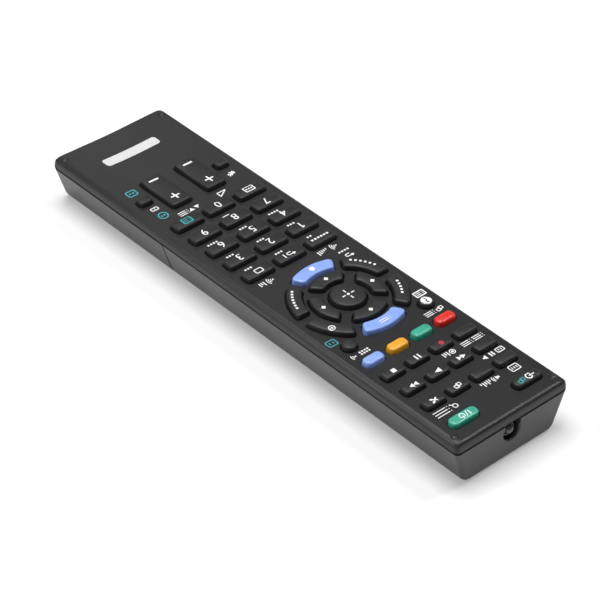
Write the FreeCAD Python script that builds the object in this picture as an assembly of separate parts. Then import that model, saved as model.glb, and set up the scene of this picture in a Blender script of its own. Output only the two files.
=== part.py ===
import FreeCAD, Part
import math
import os
from dataclasses import dataclass, field

# TV remote control, millimetres. +Y points at the infrared end, +X to the user's right, +Z up.
# The origin is the middle of the flat underside.

# Round forms are made of flats that stay this close to the true curve, to keep the part light
ROUND_TOLERANCE = 0.1
TURNED_SIDES = 12

# Case
LENGTH = 207.0
WIDTH = 50.0
PARTING_Z = 15.1
TOP_Z = 18.8
RIM_HEIGHT = 1.8
RIM_DRAFT = 0.12
TOP_SIDE_ROUND = 2.0
TOP_END_ROUND = 1.5
CAVITY_DRAFT = 0.6
SIDE_SLOPE = 0.33
BOTTOM_ROUND = 3.5
FRONT_DRAFT = 0.7
CORNER_ROUND = 1.6
BOTTOM_ROUND_LEAST = 0.5
BOTTOM_STEPS = 3
RIM_STEPS = 3
CASE_WALL = 1.6
FLOOR = 1.5
TOP_SKIN = 1.6
PARTING_GROOVE = 0.45
GROOVE_DEPTH = 0.9

# Thumb hollow at the battery end, and the four bumps that keep the keys off a table
HOLLOW_LENGTH = 42.0
HOLLOW_DEPTH = 1.2
REAR_SKIN = 3.0
BUMP_RADIUS = 1.2
BUMP_HEIGHT = 0.5
BUMP_TURN = 78
BUMP_STEPS = 3
BUMP_SIDE_INSET = 2.7
BUMP_END_INSET = 4.1

# Battery cover, which wraps the whole battery end up to the parting line
COVER_LENGTH = 61.9
SEAM_GAP = 0.4
COVER_WALL = 1.5
COVER_GAP = 0.3
COVER_GROOVE = 0.7
RAIL_Z = 9.3
RAIL_HEIGHT = 1.0
RAIL_REACH = 1.55
RAIL_BITE = 0.3
SKIRT_THICKNESS = 1.2
TAB_WIDTH = 3.6
TAB_X = 15.0
TAB_REACH = 3.6
TAB_THICKNESS = 1.0
GRIP_LENGTH = 15.0
GRIP_WIDTH = 11.0
GRIP_DEPTH = 0.7
GRIP_CORNER = 3.0
GRIP_FROM_SEAM = 14.0
GRIP_RIBS = 5
GRIP_RIB_WIDTH = 0.8

# Batteries, size AAA
CELL_DIAMETER = 10.5
CELL_LENGTH = 44.5
CELL_NUB_DIAMETER = 3.8
CELL_NUB_LENGTH = 1.2
CELL_GAP = 0.7
CELL_CLEARANCE = 0.4
CELL_EDGE = 0.5
BAY_WALL = 1.2
BULKHEAD = 1.4
DECK = 1.1
CONTACT_SHEET = 0.4
CONTACT_WIDTH = 8.0
CONTACT_TAB_WIDTH = 2.4
SPRING_LENGTH = 4.5
SPRING_WIRE = 0.6
SPRING_BASE_DIAMETER = 7.0
SPRING_TIP_DIAMETER = 4.4
SPRING_TURNS = 3
SPRING_STEPS = 8
SPRING_SIDES = 6

# Circuit board and what is soldered to its underside, placed from the board's front edge
BOARD = 1.0
BOARD_SIDE_GAP = 1.95
BOARD_FROM_FRONT = 5.5
BOARD_PAST_ROCKERS = 3.0
BOARD_CORNER = 2.0
CHIP_SIZE = (18.0, 10.2, 2.3)
CHIP_EDGE = 0.4
CHIP_PLACE = (0.0, 68.0)
CAPACITOR_DIAMETER = 6.3
CAPACITOR_LENGTH = 11.0
CAPACITOR_PLACE = (11.0, 27.0)
RESONATOR_SIZE = (7.4, 3.4, 3.6)
RESONATOR_CORNER = 1.0
RESONATOR_PLACE = (-11.0, 36.0)

# Infrared diode in the notch of the front wall
LED_DIAMETER = 5.0
LED_FLANGE_DIAMETER = 5.8
LED_FLANGE = 1.0
LED_LENGTH = 8.6
LED_RECESS = 0.4
LED_BAY_GAP = 0.3
LED_Z = 10.9
LED_LEAD = 0.5
LED_LEAD_PITCH = 2.54
LED_LEAD_RUN = 3.0
NOTCH_RADIUS = 3.5
NOTCH_FLARE = 0.4
CRADLE_THICKNESS = 1.2
CRADLE_WIDTH = 10.0

# Key stack, from the board up
MAT = 0.6
KEY_TRAVEL = 0.8
KEY_STANDS = 1.8
KEY_CLEARANCE = 0.3
FLANGE = 0.6
FLANGE_OVERLAP = 0.3
FLANGE_GAP = 0.3
STEM = 3.0
STEM_CLEARANCE = 0.3
CONTACT_MARGIN = 0.05
KEY_EDGE = 0.6
KEY_CORNER = 1.1
ROCKER_TILT = 3.5
ROCKER_STEM_INSET = 3.0
ROCKER_RIB = (4.4, 0.8)
ROCKER_DISH = 0.35

# Key field: margins and gaps set the columns, and each row is so far from the one before it
END_KEY = (11.8, 4.4)
END_KEY_CORNER = 1.9
END_KEY_MARGIN = 4.9
END_ROW_FROM_FRONT = 8.4
NARROW_MARGIN = 4.6
NARROW_GAP = 2.0
NARROW_DEPTH = 4.3
NARROW_ROW_PITCH = 9.35
FIRST_ROW_DROP = 11.6
COLOUR_MARGIN = 4.8
COLOUR_GAP = 2.4
COLOUR_DEPTH = 4.6
COLOUR_CORNER = 1.9
COLOUR_ROW_DROP = 27.9
ROUND_KEY_RADIUS = 2.8
ROUND_KEY_MARGIN = 5.0
ROUND_ROW_DROP = 10.2
RING_DROP = 19.4
RING_MARGIN = 4.2
RING_BAND = 5.6
RING_GAP = 1.5
PAD_BAND = 5.4
OK_GAP = 1.7
PAD_HALF_GAP = 2.0
RING_SPLIT = 31.2
RING_HALF_GAP = 1.3
RING_SIDE_HALF_GAP = 1.7
CORNER_PULL = 0.293
NUMBER_MARGIN = 4.9
NUMBER_GAP = 2.1
NUMBER_DEPTH = 5.2
NUMBER_ROW_PITCH = 9.3
NUMBER_ROWS = 5
NUMBER_DROP = 29.5
SMALL_KEY = (5.4, 4.2)
SMALL_KEY_MARGIN = 4.9
ROCKER_GAP = 2.6
ROCKER_HALF_SPACE = 3.4
ROCKER_DEPTH = 19.6
ROCKER_DROP = 19.6

# Bosses that clamp the board, and the snap hooks that hold the two case halves together
BOSS = 3.0
BOSS_CLEARANCE = 0.3
POST = 4.0
BOSS_UNDER_END_ROW = 6.5
BOSS_UNDER_COLOUR_ROW = (14.3, 5.3)
BOSS_UNDER_RING = (9.5, 23.0)
BOSS_UNDER_SMALL_KEYS = 6.7
HOOKS_FROM_FRONT = (14.2, 54.5, 99.5)
HOOK_BEFORE_SEAM = 5.6
HOOK_WIDTH = 4.0
HOOK_THICKNESS = 0.8
HOOK_GAP = 0.2
HOOK_NIB = 0.45
HOOK_NIB_HEIGHT = 0.6
CATCH_HEIGHT = 1.0
REAR_HOOK_X = 15.0
REAR_HOOK_FROM_END = 6.5

# Heights and lengths that follow from the sizes above
HALF_LENGTH = LENGTH / 2
HALF_WIDTH = WIDTH / 2
SIDE_COS = math.cos(math.atan(SIDE_SLOPE))
CELL_Z = FLOOR + CELL_CLEARANCE + CELL_DIAMETER / 2
DECK_Z = CELL_Z + CELL_DIAMETER / 2 + CELL_CLEARANCE / 2
BOARD_Z = DECK_Z + DECK
MAT_Z = BOARD_Z + BOARD
CEILING_Z = TOP_Z - TOP_SKIN
FLANGE_Z = CEILING_Z - FLANGE_GAP - FLANGE
STEM_Z = MAT_Z + KEY_TRAVEL + CONTACT_MARGIN
KEY_TOP_Z = TOP_Z + KEY_STANDS
BAY_LENGTH = CELL_LENGTH + SPRING_LENGTH + 2 * CONTACT_SHEET
BAY_HALF_WIDTH = CELL_DIAMETER + CELL_GAP / 2 + CELL_CLEARANCE
SEAM_Y = -HALF_LENGTH + COVER_LENGTH
BAY_FRONT_Y = SEAM_Y - BAY_WALL
BAY_REAR_Y = BAY_FRONT_Y - BAY_LENGTH
CELL_X = (CELL_DIAMETER + CELL_GAP) / 2
MARGIN = 1.0
END_KEY_X = HALF_WIDTH - END_KEY_MARGIN - END_KEY[0] / 2
ROUND_KEY_X = HALF_WIDTH - ROUND_KEY_MARGIN - ROUND_KEY_RADIUS
SMALL_KEY_X = HALF_WIDTH - SMALL_KEY_MARGIN - SMALL_KEY[0] / 2
ROCKER_WIDTH = SMALL_KEY_X - SMALL_KEY[0] / 2 - ROCKER_GAP - ROCKER_HALF_SPACE
ROCKER_X = ROCKER_HALF_SPACE + ROCKER_WIDTH / 2
RING_RADII = (HALF_WIDTH - RING_MARGIN - RING_BAND, HALF_WIDTH - RING_MARGIN)
PAD_RADII = (RING_RADII[0] - RING_GAP - PAD_BAND, RING_RADII[0] - RING_GAP)
OK_RADIUS = PAD_RADII[0] - OK_GAP
END_ROW_Y = HALF_LENGTH - END_ROW_FROM_FRONT
FIRST_ROW_Y = END_ROW_Y - FIRST_ROW_DROP
COLOUR_ROW_Y = FIRST_ROW_Y - COLOUR_ROW_DROP
ROUND_ROW_Y = COLOUR_ROW_Y - ROUND_ROW_DROP
RING_Y = ROUND_ROW_Y - RING_DROP
NUMBER_TOP_Y = RING_Y - NUMBER_DROP
ROCKER_ROW_Y = NUMBER_TOP_Y - (NUMBER_ROWS - 1) * NUMBER_ROW_PITCH - ROCKER_DROP
BOARD_FRONT_Y = HALF_LENGTH - BOARD_FROM_FRONT
BOARD_REAR_Y = ROCKER_ROW_Y - ROCKER_DEPTH / 2 - BOARD_PAST_ROCKERS
BOARD_HALF_WIDTH = (HALF_WIDTH - (PARTING_Z - BOARD_Z) * SIDE_SLOPE - CASE_WALL / SIDE_COS
                    - BOARD_SIDE_GAP)
HOOK_X = BOARD_HALF_WIDTH + HOOK_GAP
HOOK_ROWS = [HALF_LENGTH - back for back in HOOKS_FROM_FRONT] + [SEAM_Y + HOOK_BEFORE_SEAM]


def vector(x, y, z):
    return FreeCAD.Vector(x, y, z)


def box(x0, x1, y0, y1, z0, z1):
    return Part.makeBox(x1 - x0, y1 - y0, z1 - z0, vector(x0, y0, z0))


def peg(width, x, y, z0, z1):
    """A square post about (x, y)."""
    return box(x - width / 2, x + width / 2, y - width / 2, y + width / 2, z0, z1)


def fuse(shapes):
    first, *others = shapes
    return first.fuse(others).removeSplitter() if others else first


def both_sides(shape):
    return [shape, shape.mirror(vector(0, 0, 0), vector(1, 0, 0))]


def closed(points):
    return Part.makePolygon(points + points[:1])


def prism_along_y(points, y0, y1):
    """Extrude a closed outline of (x, z) points from y0 to y1."""
    face = Part.Face(closed([vector(x, y0, z) for x, z in points]))
    return face.extrude(vector(0, y1 - y0, 0))


def turn_points(radius, start, end, flats):
    """(x, y) points along an arc about the origin, with both ends."""
    turns = (math.radians(start + (end - start) * step / flats) for step in range(flats + 1))
    return [(radius * math.cos(turn), radius * math.sin(turn)) for turn in turns]


def flats_in(radius, degrees):
    """How many flats follow an arc within the roundness tolerance."""
    return math.ceil(degrees / math.degrees(2 * math.acos(1 - ROUND_TOLERANCE / radius)))


def stack(rings):
    """A solid with flat faces between rings of points that match one to one."""
    faces = [Part.Face(closed(rings[0])), Part.Face(closed(rings[-1]))]
    for low, high in zip(rings, rings[1:]):
        for index in range(len(low)):
            faces.append(Part.Face(closed([low[index - 1], low[index], high[index], high[index - 1]])))
    shell = Part.makeShell(faces)
    shell.sewShape()
    solid = Part.makeSolid(shell)
    if solid.Volume < 0:
        solid.reverse()
    return solid


def turned(profile, start, along):
    """A turned solid, in flats, from (radius, distance) pairs along an axis."""
    flats = max(TURNED_SIDES, flats_in(max(radius for radius, _ in profile), 360))
    across = vector(1, 0, 0)
    rings = [[start + along * distance + across * a + along.cross(across) * b
              for a, b in turn_points(radius, 0, 360, flats)[:-1]]
             for radius, distance in profile]
    return stack(rings)


def edges_where(shape, test):
    return [edge for edge in shape.Edges if test(edge)]


def runs_along(edge, axis):
    """True for a straight edge whose direction is the axis, either way."""
    if not isinstance(edge.Curve, Part.Line):
        return False
    return abs(abs(edge.Curve.Direction.dot(axis)) - 1) < 1e-6


# Case shell

def side_at(z, inset):
    """Half the width of the lower case at height z, moved inward by a wall."""
    return HALF_WIDTH - (PARTING_Z - z) * SIDE_SLOPE - inset / SIDE_COS


def section(inset, floor, top):
    """The lower case's (x, z) section, set inward by a wall and raised to a floor."""
    radius = max(BOTTOM_ROUND - inset, BOTTOM_ROUND_LEAST)
    middle_x = side_at(floor + radius, inset) - radius / SIDE_COS
    turns = turn_points(radius, -90, -math.degrees(math.atan(SIDE_SLOPE)), BOTTOM_STEPS)
    right = [(middle_x + x, floor + radius + z) for x, z in turns] + [(side_at(top, inset), top)]
    return right + [(-x, z) for x, z in reversed(right)]


def trough(inset, floor, top, y0, y1):
    """The lower case's section, set inward by a wall and a floor, as one long solid."""
    return prism_along_y(section(inset, floor, top), y0, y1)


def lower_block():
    """The outside of the lower half, over the full length, with drafted front and soft rims."""
    rims = turn_points(CORNER_ROUND, 0, 90, RIM_STEPS)

    def front_y(z, back):
        return HALF_LENGTH - FRONT_DRAFT * (1 - z / PARTING_Z) - back
    front = [[vector(x, front_y(z, CORNER_ROUND - forward), z)
              for x, z in section(CORNER_ROUND - kept, CORNER_ROUND - kept, PARTING_Z)]
             for kept, forward in rims]
    rear = [[vector(x, -HALF_LENGTH + CORNER_ROUND - forward, z)
             for x, z in section(CORNER_ROUND - kept, CORNER_ROUND - kept, PARTING_Z)]
            for kept, forward in reversed(rims)]
    return stack(rear + front)


def upper_ring(z, side_inset, end_inset):
    """The upper half's outline at a height, set inward, with its corners in flats."""
    corners = rounded_outline(0, 0, HALF_WIDTH - side_inset, HALF_LENGTH - end_inset, CORNER_ROUND,
                              RIM_STEPS)
    return [point + vector(0, 0, z) for point in corners]


def cavity(top):
    """The room inside the upper half up to a height, with its draft."""
    low = PARTING_Z - MARGIN
    inset = CASE_WALL + CAVITY_DRAFT * (top - low) / (CEILING_Z - low)
    return stack([upper_ring(low, CASE_WALL, CASE_WALL), upper_ring(top, inset, inset)])


def upper_block():
    """The outside of the upper half: a low rim, a broad round up to the top, and the thumb hollow."""
    rim_z = PARTING_Z + RIM_HEIGHT
    rings = [upper_ring(PARTING_Z, 0, 0)]
    for across, up in turn_points(1, 0, 90, RIM_STEPS):
        rings.append(upper_ring(rim_z + (TOP_Z - rim_z) * up, RIM_DRAFT + TOP_SIDE_ROUND * (1 - across),
                                RIM_DRAFT + TOP_END_ROUND * (1 - across)))
    return stack(rings).cut(thumb_hollow())


def thumb_hollow():
    """A wide tilted cylinder that dips below the top towards the battery end."""
    half_chord = HALF_WIDTH - TOP_SIDE_ROUND
    radius = half_chord ** 2 / (2 * HOLLOW_DEPTH)
    tilt = math.degrees(math.atan(HOLLOW_DEPTH / HOLLOW_LENGTH))
    start = vector(0, -HALF_LENGTH + HOLLOW_LENGTH, TOP_Z + radius)
    solid = Part.makeCylinder(radius, 2 * HOLLOW_LENGTH, start, vector(0, -1, 0))
    solid.rotate(start - vector(0, 0, radius), vector(1, 0, 0), tilt)
    return solid


# Keys

@dataclass
class Key:
    """One key: its name, its middle, and the outline that every fit is made from."""

    name: str
    x: float
    y: float
    stems: list = field(default_factory=list)

    def outline(self, grow):
        raise NotImplementedError

    def prism(self, grow, z0, z1):
        solid = Part.Face(closed(self.outline(grow))).extrude(vector(0, 0, z1 - z0))
        solid.translate(vector(0, 0, z0))
        return solid

    def stem_places(self):
        return self.stems or [(self.x, self.y)]

    def cap(self):
        """The part above the flange, with its softened top edge."""
        solid = self.prism(0, FLANGE_Z, KEY_TOP_Z)
        top = edges_where(solid, lambda e: e.BoundBox.ZMin > KEY_TOP_Z - 1e-3)
        return solid.makeChamfer(KEY_EDGE, top)

    def flange(self):
        """The rim under the case that keeps the key in."""
        return self.prism(KEY_CLEARANCE + FLANGE_OVERLAP, FLANGE_Z, FLANGE_Z + FLANGE)

    def solid(self):
        stems = [peg(STEM, x, y, STEM_Z, FLANGE_Z) for x, y in self.stem_places()]
        return fuse([self.cap(), self.flange()] + stems)

    def mat_holes(self):
        return [peg(STEM + 2 * STEM_CLEARANCE, x, y, MAT_Z - MARGIN, MAT_Z + MAT + MARGIN)
                for x, y in self.stem_places()]


@dataclass
class BarKey(Key):
    """A key with straight sides and rounded corners."""

    size: tuple = SMALL_KEY
    corner: float = KEY_CORNER

    def outline(self, grow):
        half_x, half_y = self.size[0] / 2 + grow, self.size[1] / 2 + grow
        return rounded_outline(self.x, self.y, half_x, half_y, self.corner + grow,
                               flats_in(self.corner, 90))

    def flange(self):
        half_x, half_y = (side / 2 + KEY_CLEARANCE + FLANGE_OVERLAP for side in self.size)
        return box(self.x - half_x, self.x + half_x, self.y - half_y, self.y + half_y,
                   FLANGE_Z, FLANGE_Z + FLANGE)


@dataclass
class RoundKey(Key):
    """A round key."""

    radius: float = ROUND_KEY_RADIUS

    def outline(self, grow):
        turns = turn_points(self.radius + grow, 0, 360, flats_in(self.radius, 360))
        return [vector(self.x + x, self.y + y, 0) for x, y in turns[:-1]]


@dataclass
class SectorKey(Key):
    """A piece of a ring around the OK key, with its ends parallel to the webs beside it.

    from_angle and to_angle are the webs' middle lines, counted from +X, and each gap is half a web.
    """

    radii: tuple = PAD_RADII
    from_angle: float = 45.0
    to_angle: float = 135.0
    from_gap: float = PAD_HALF_GAP
    to_gap: float = PAD_HALF_GAP

    def __post_init__(self):
        middle = math.radians((self.from_angle + self.to_angle) / 2)
        radius = sum(self.radii) / 2
        self.stems = [(radius * math.cos(middle), RING_Y + radius * math.sin(middle))]

    def arc(self, base_radius, grow):
        """Points along one of the two arcs, in flats, between the webs."""
        radius = base_radius + grow
        side = abs(grow) if grow * (base_radius - sum(self.radii) / 2) > 0 else -abs(grow)
        start = self.from_angle + math.degrees(math.asin((self.from_gap - side) / radius))
        end = self.to_angle - math.degrees(math.asin((self.to_gap - side) / radius))
        flats = flats_in(base_radius, end - start)
        return [vector(x, RING_Y + y, 0) for x, y in turn_points(radius, start, end, flats)]

    def outline(self, grow):
        inner = self.arc(self.radii[0], -grow)
        outer = self.arc(self.radii[1], grow)
        cut = KEY_CORNER + grow
        points = []
        for arc, other in ((outer, inner), (inner[::-1], outer[::-1])):
            points += self.corner(other[0], arc[0], arc[1], cut) + arc[1:-1]
            points += self.corner(arc[-2], arc[-1], other[-1], cut)
        return points

    def corner(self, before, point, after, size):
        """A corner turned in two flats, as three points."""
        towards = [(other - point).normalize() for other in (before, after)]
        first, last = (point + way * size for way in towards)
        middle = point + (towards[0] + towards[1]) * (size * CORNER_PULL)
        return [first, middle, last]


@dataclass
class RockerKey(BarKey):
    """A two-way key that tips about its middle on a rib, with a stem under each end."""

    def stem_places(self):
        reach = self.size[1] / 2 - ROCKER_STEM_INSET
        return [(self.x, self.y - reach), (self.x, self.y + reach)]

    def solid(self):
        drop = math.sin(math.radians(ROCKER_TILT)) * (self.size[1] / 2 - ROCKER_STEM_INSET + STEM / 2)
        low = MAT_Z + drop + CONTACT_MARGIN
        stems = [peg(STEM, x, y, low, FLANGE_Z) for x, y in self.stem_places()]
        rib_x, rib_y = ROCKER_RIB
        rib = box(self.x - rib_x / 2, self.x + rib_x / 2, self.y - rib_y / 2, self.y + rib_y / 2,
                  MAT_Z + MAT + CONTACT_MARGIN, FLANGE_Z)
        return fuse([self.cap().cut(self.dish())] + stems + [rib])

    def dish(self):
        """A shallow hollow across the middle of the top."""
        chord = self.size[1] / 2 - 2 * KEY_EDGE
        radius = chord ** 2 / (2 * ROCKER_DISH)
        return Part.makeCylinder(radius, self.size[0] + 2 * MARGIN,
                                 vector(self.x - self.size[0] / 2 - MARGIN, self.y,
                                        KEY_TOP_Z - ROCKER_DISH + radius), vector(1, 0, 0))


def rounded_outline(x, y, half_x, half_y, corner, flats):
    """The points of an outline about a middle at (x, y) that turns each corner in a few flats."""
    points = []
    for quarter, (side_x, side_y) in enumerate(((1, 1), (-1, 1), (-1, -1), (1, -1))):
        turns = turn_points(corner, 90 * quarter, 90 * quarter + 90, flats)
        middle = vector(x + side_x * (half_x - corner), y + side_y * (half_y - corner), 0)
        points += [middle + vector(across, along, 0) for across, along in turns]
    return points


def spread(names, y, margin, gap, depth, corner=KEY_CORNER):
    """A row of equal keys that fills the case between two side margins."""
    pitch = (2 * (HALF_WIDTH - margin) + gap) / len(names)
    first = (1 - len(names)) * pitch / 2
    return [BarKey(name, first + column * pitch, y, size=(pitch - gap, depth), corner=corner)
            for column, name in enumerate(names)]


def narrow_keys():
    rows = [("key_screen_format", "key_audio", "key_depth_view", "key_search"),
            ("key_pause_live", "key_rewind", "key_play", "key_fast_forward"),
            ("key_title_list", "key_record", "key_pause", "key_stop")]
    return [key for row, names in enumerate(rows)
            for key in spread(names, FIRST_ROW_Y - row * NARROW_ROW_PITCH, NARROW_MARGIN, NARROW_GAP,
                              NARROW_DEPTH)]


def colour_keys():
    names = ("key_red", "key_green", "key_yellow", "key_blue")
    return spread(names, COLOUR_ROW_Y, COLOUR_MARGIN, COLOUR_GAP, COLOUR_DEPTH, COLOUR_CORNER)


def end_keys():
    return [BarKey(name, side * END_KEY_X, END_ROW_Y, size=END_KEY, corner=END_KEY_CORNER)
            for name, side in (("key_input", -1), ("key_power", 1))]


def number_keys():
    rows = [("key_digital", "key_exit", "key_tv_radio"), ("key_1", "key_2", "key_3"),
            ("key_4", "key_5", "key_6"), ("key_7", "key_8", "key_9"),
            ("key_subtitle", "key_0", "key_text")]
    return [key for row, names in enumerate(rows)
            for key in spread(names, NUMBER_TOP_Y - row * NUMBER_ROW_PITCH, NUMBER_MARGIN, NUMBER_GAP,
                              NUMBER_DEPTH)]


def pad_keys():
    names = ("key_right", "key_up", "key_left", "key_down")
    return [SectorKey(name, 0, RING_Y, from_angle=90 * turn - 45, to_angle=90 * turn + 45)
            for turn, name in enumerate(names)]


def ring_keys():
    webs = [(0, RING_SIDE_HALF_GAP), (90 - RING_SPLIT, RING_HALF_GAP),
            (90 + RING_SPLIT, RING_HALF_GAP), (180, RING_SIDE_HALF_GAP),
            (270 - RING_SPLIT, RING_HALF_GAP), (270 + RING_SPLIT, RING_HALF_GAP),
            (360, RING_SIDE_HALF_GAP)]
    names = ("key_wide_view", "key_menu", "key_guide", "key_return", "key_home", "key_options")
    return [SectorKey(name, 0, RING_Y, radii=RING_RADII, from_angle=start, to_angle=end,
                      from_gap=start_gap, to_gap=end_gap)
            for name, (start, start_gap), (end, end_gap) in zip(names, webs, webs[1:])]


def all_keys():
    rocker = (ROCKER_WIDTH, ROCKER_DEPTH)
    keys = end_keys() + narrow_keys() + colour_keys() + number_keys() + pad_keys() + ring_keys()
    keys += [RoundKey("key_help", -ROUND_KEY_X, ROUND_ROW_Y),
             RoundKey("key_settings", ROUND_KEY_X, ROUND_ROW_Y),
             RoundKey("key_ok", 0, RING_Y, radius=OK_RADIUS)]
    keys += [RockerKey("key_volume", -ROCKER_X, ROCKER_ROW_Y, size=rocker),
             RockerKey("key_programme", ROCKER_X, ROCKER_ROW_Y, size=rocker),
             BarKey("key_mute", -SMALL_KEY_X, ROCKER_ROW_Y),
             BarKey("key_media", SMALL_KEY_X, ROCKER_ROW_Y)]
    return keys


def boss_places():
    """Where the upper case's bosses clamp the board, clear of the keys."""
    colour_x, colour_drop = BOSS_UNDER_COLOUR_ROW
    ring_x, ring_drop = BOSS_UNDER_RING
    pairs = [(HALF_WIDTH - colour_x, COLOUR_ROW_Y - colour_drop),
             (HALF_WIDTH - ring_x, RING_Y - ring_drop),
             (SMALL_KEY_X, ROCKER_ROW_Y - BOSS_UNDER_SMALL_KEYS)]
    middle = [(0, END_ROW_Y - BOSS_UNDER_END_ROW), (0, ROCKER_ROW_Y)]
    return middle + [(side * x, y) for x, y in pairs for side in (-1, 1)]


# Case parts

def bumps():
    """Four low domes on the corners of the top."""
    dome = [(BUMP_RADIUS * across, BUMP_HEIGHT * up)
            for across, up in turn_points(1, 0, BUMP_TURN, BUMP_STEPS)]
    x = HALF_WIDTH - BUMP_SIDE_INSET
    y = HALF_LENGTH - BUMP_END_INSET
    return [turned([(BUMP_RADIUS, -TOP_SKIN / 2)] + dome, vector(px, py, TOP_Z), vector(0, 0, 1))
            for px in (-x, x) for py in (-y, y)]


def side_hooks():
    """Snap hooks that reach down from the top skin and catch under the lower case's ledges."""
    catch_z = PARTING_Z - PARTING_GROOVE - CATCH_HEIGHT - HOOK_GAP
    shapes = []
    for y in HOOK_ROWS:
        y0, y1 = y - HOOK_WIDTH / 2, y + HOOK_WIDTH / 2
        stem = box(HOOK_X, HOOK_X + HOOK_THICKNESS, y0, y1, catch_z - HOOK_NIB_HEIGHT, CEILING_Z)
        face_x = HOOK_X + HOOK_THICKNESS
        nib = prism_along_y([(face_x, catch_z), (face_x + HOOK_NIB, catch_z),
                             (face_x, catch_z - HOOK_NIB_HEIGHT)], y0, y1)
        shapes += both_sides(stem) + both_sides(nib)
    return shapes


def rear_hooks():
    """Two hooks that pass through the deck behind the battery bay."""
    y = -HALF_LENGTH + REAR_HOOK_FROM_END
    x0, x1 = REAR_HOOK_X - HOOK_WIDTH / 2, REAR_HOOK_X + HOOK_WIDTH / 2
    low = DECK_Z - HOOK_GAP
    stem = box(x0, x1, y, y + HOOK_THICKNESS, low - HOOK_NIB_HEIGHT, TOP_Z - REAR_SKIN)
    nib = box(x0, x1, y + HOOK_THICKNESS, y + HOOK_THICKNESS + HOOK_NIB, low - HOOK_NIB_HEIGHT, low)
    return both_sides(stem) + both_sides(nib)


def rear_hook_slots():
    y = -HALF_LENGTH + REAR_HOOK_FROM_END
    x0, x1 = REAR_HOOK_X - HOOK_WIDTH / 2 - HOOK_GAP, REAR_HOOK_X + HOOK_WIDTH / 2 + HOOK_GAP
    slot = box(x0, x1, y - HOOK_GAP, y + HOOK_THICKNESS + HOOK_GAP, DECK_Z - MARGIN, BOARD_Z + MARGIN)
    return both_sides(slot)


def upper_case(keys):
    shell = upper_block()
    shell = fuse([shell] + bumps())
    front = cavity(CEILING_Z).common(box(-WIDTH, WIDTH, BOARD_REAR_Y - MARGIN, LENGTH, 0, TOP_Z))
    shell = shell.cut([front, cavity(TOP_Z - REAR_SKIN)])
    shell = shell.cut([key.prism(KEY_CLEARANCE, CEILING_Z - MARGIN, TOP_Z + MARGIN) for key in keys])
    bosses = [peg(BOSS, x, y, MAT_Z, CEILING_Z) for x, y in boss_places()]
    return fuse([shell] + bosses + side_hooks() + rear_hooks())


def parting_groove(height, y0, y1):
    """The shadow line under the upper case's rim."""
    z0 = PARTING_Z - height
    ring = box(-WIDTH, WIDTH, y0, y1, z0, PARTING_Z + MARGIN)
    half_x, half_y = HALF_WIDTH - GROOVE_DEPTH, HALF_LENGTH - GROOVE_DEPTH
    core = Part.Face(closed(rounded_outline(0, 0, half_x, half_y, CORNER_ROUND, RIM_STEPS)))
    core = core.extrude(vector(0, 0, WIDTH))
    return ring.cut(core)


def led_notch():
    """The notch in the front wall, flared outside, open up to the parting line."""
    y0 = HALF_LENGTH - CASE_WALL - FRONT_DRAFT - MARGIN
    y1 = HALF_LENGTH + MARGIN
    wall_y = HALF_LENGTH - FRONT_DRAFT / 2
    bore = Part.makeCylinder(NOTCH_RADIUS, y1 - y0, vector(0, y0, LED_Z), vector(0, 1, 0))
    gap = box(-NOTCH_RADIUS, NOTCH_RADIUS, y0, y1, LED_Z, PARTING_Z + MARGIN)
    flare = Part.makeCone(NOTCH_RADIUS, NOTCH_RADIUS + 2 * NOTCH_FLARE, 2 * NOTCH_FLARE,
                          vector(0, wall_y - NOTCH_FLARE, LED_Z), vector(0, 1, 0))
    return bore.fuse([gap, flare])


def catches():
    """Ledges on the side walls for the snap hooks."""
    top = PARTING_Z - PARTING_GROOVE
    shapes = []
    for y in HOOK_ROWS:
        half = HOOK_WIDTH / 2 + HOOK_GAP
        ledge = box(HOOK_X + HOOK_THICKNESS + HOOK_GAP / 2, side_at(top, CASE_WALL / 2),
                    y - half, y + half, top - CATCH_HEIGHT, top)
        shapes += both_sides(ledge)
    return shapes


def led_cradle():
    """The saddle wall that the diode lies in."""
    y = HALF_LENGTH - FRONT_DRAFT - CASE_WALL - LED_LENGTH / 2
    wall = box(-CRADLE_WIDTH / 2, CRADLE_WIDTH / 2, y - CRADLE_THICKNESS, y, FLOOR - MARGIN / 2, LED_Z)
    seat = Part.makeCylinder(LED_DIAMETER / 2, LENGTH, vector(0, 0, LED_Z), vector(0, 1, 0))
    return wall.cut(seat)


def rear_frame():
    """Everything behind the seam: deck, skirts with their lips, bulkhead and battery bay walls."""
    rear = -HALF_LENGTH + COVER_WALL + COVER_GAP
    envelope = trough(COVER_WALL + COVER_GAP, FLOOR + COVER_GAP, PARTING_Z, rear, SEAM_Y + BULKHEAD)
    deck = box(-WIDTH, WIDTH, rear, SEAM_Y + BULKHEAD, DECK_Z, BOARD_Z)
    bulkhead = box(-WIDTH, WIDTH, BAY_FRONT_Y, SEAM_Y + BULKHEAD, 0, BOARD_Z)
    outer = side_at(RAIL_Z, COVER_WALL) - RAIL_REACH - COVER_GAP
    lip_top = RAIL_Z - COVER_GAP
    skirt = box(outer - SKIRT_THICKNESS, outer, rear, SEAM_Y, lip_top - RAIL_HEIGHT, DECK_Z)
    lip = box(outer, WIDTH, rear, SEAM_Y, lip_top - RAIL_HEIGHT, lip_top)
    wall = box(BAY_HALF_WIDTH, BAY_HALF_WIDTH + BAY_WALL, BAY_REAR_Y - BAY_WALL, SEAM_Y,
               FLOOR + 2 * COVER_GAP, DECK_Z)
    back = box(-BAY_HALF_WIDTH, BAY_HALF_WIDTH, BAY_REAR_Y - BAY_WALL, BAY_REAR_Y,
               FLOOR + 2 * COVER_GAP, DECK_Z)
    pieces = [deck, bulkhead, back] + both_sides(skirt) + both_sides(lip) + both_sides(wall)
    return fuse([piece.common(envelope) for piece in pieces])


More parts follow.
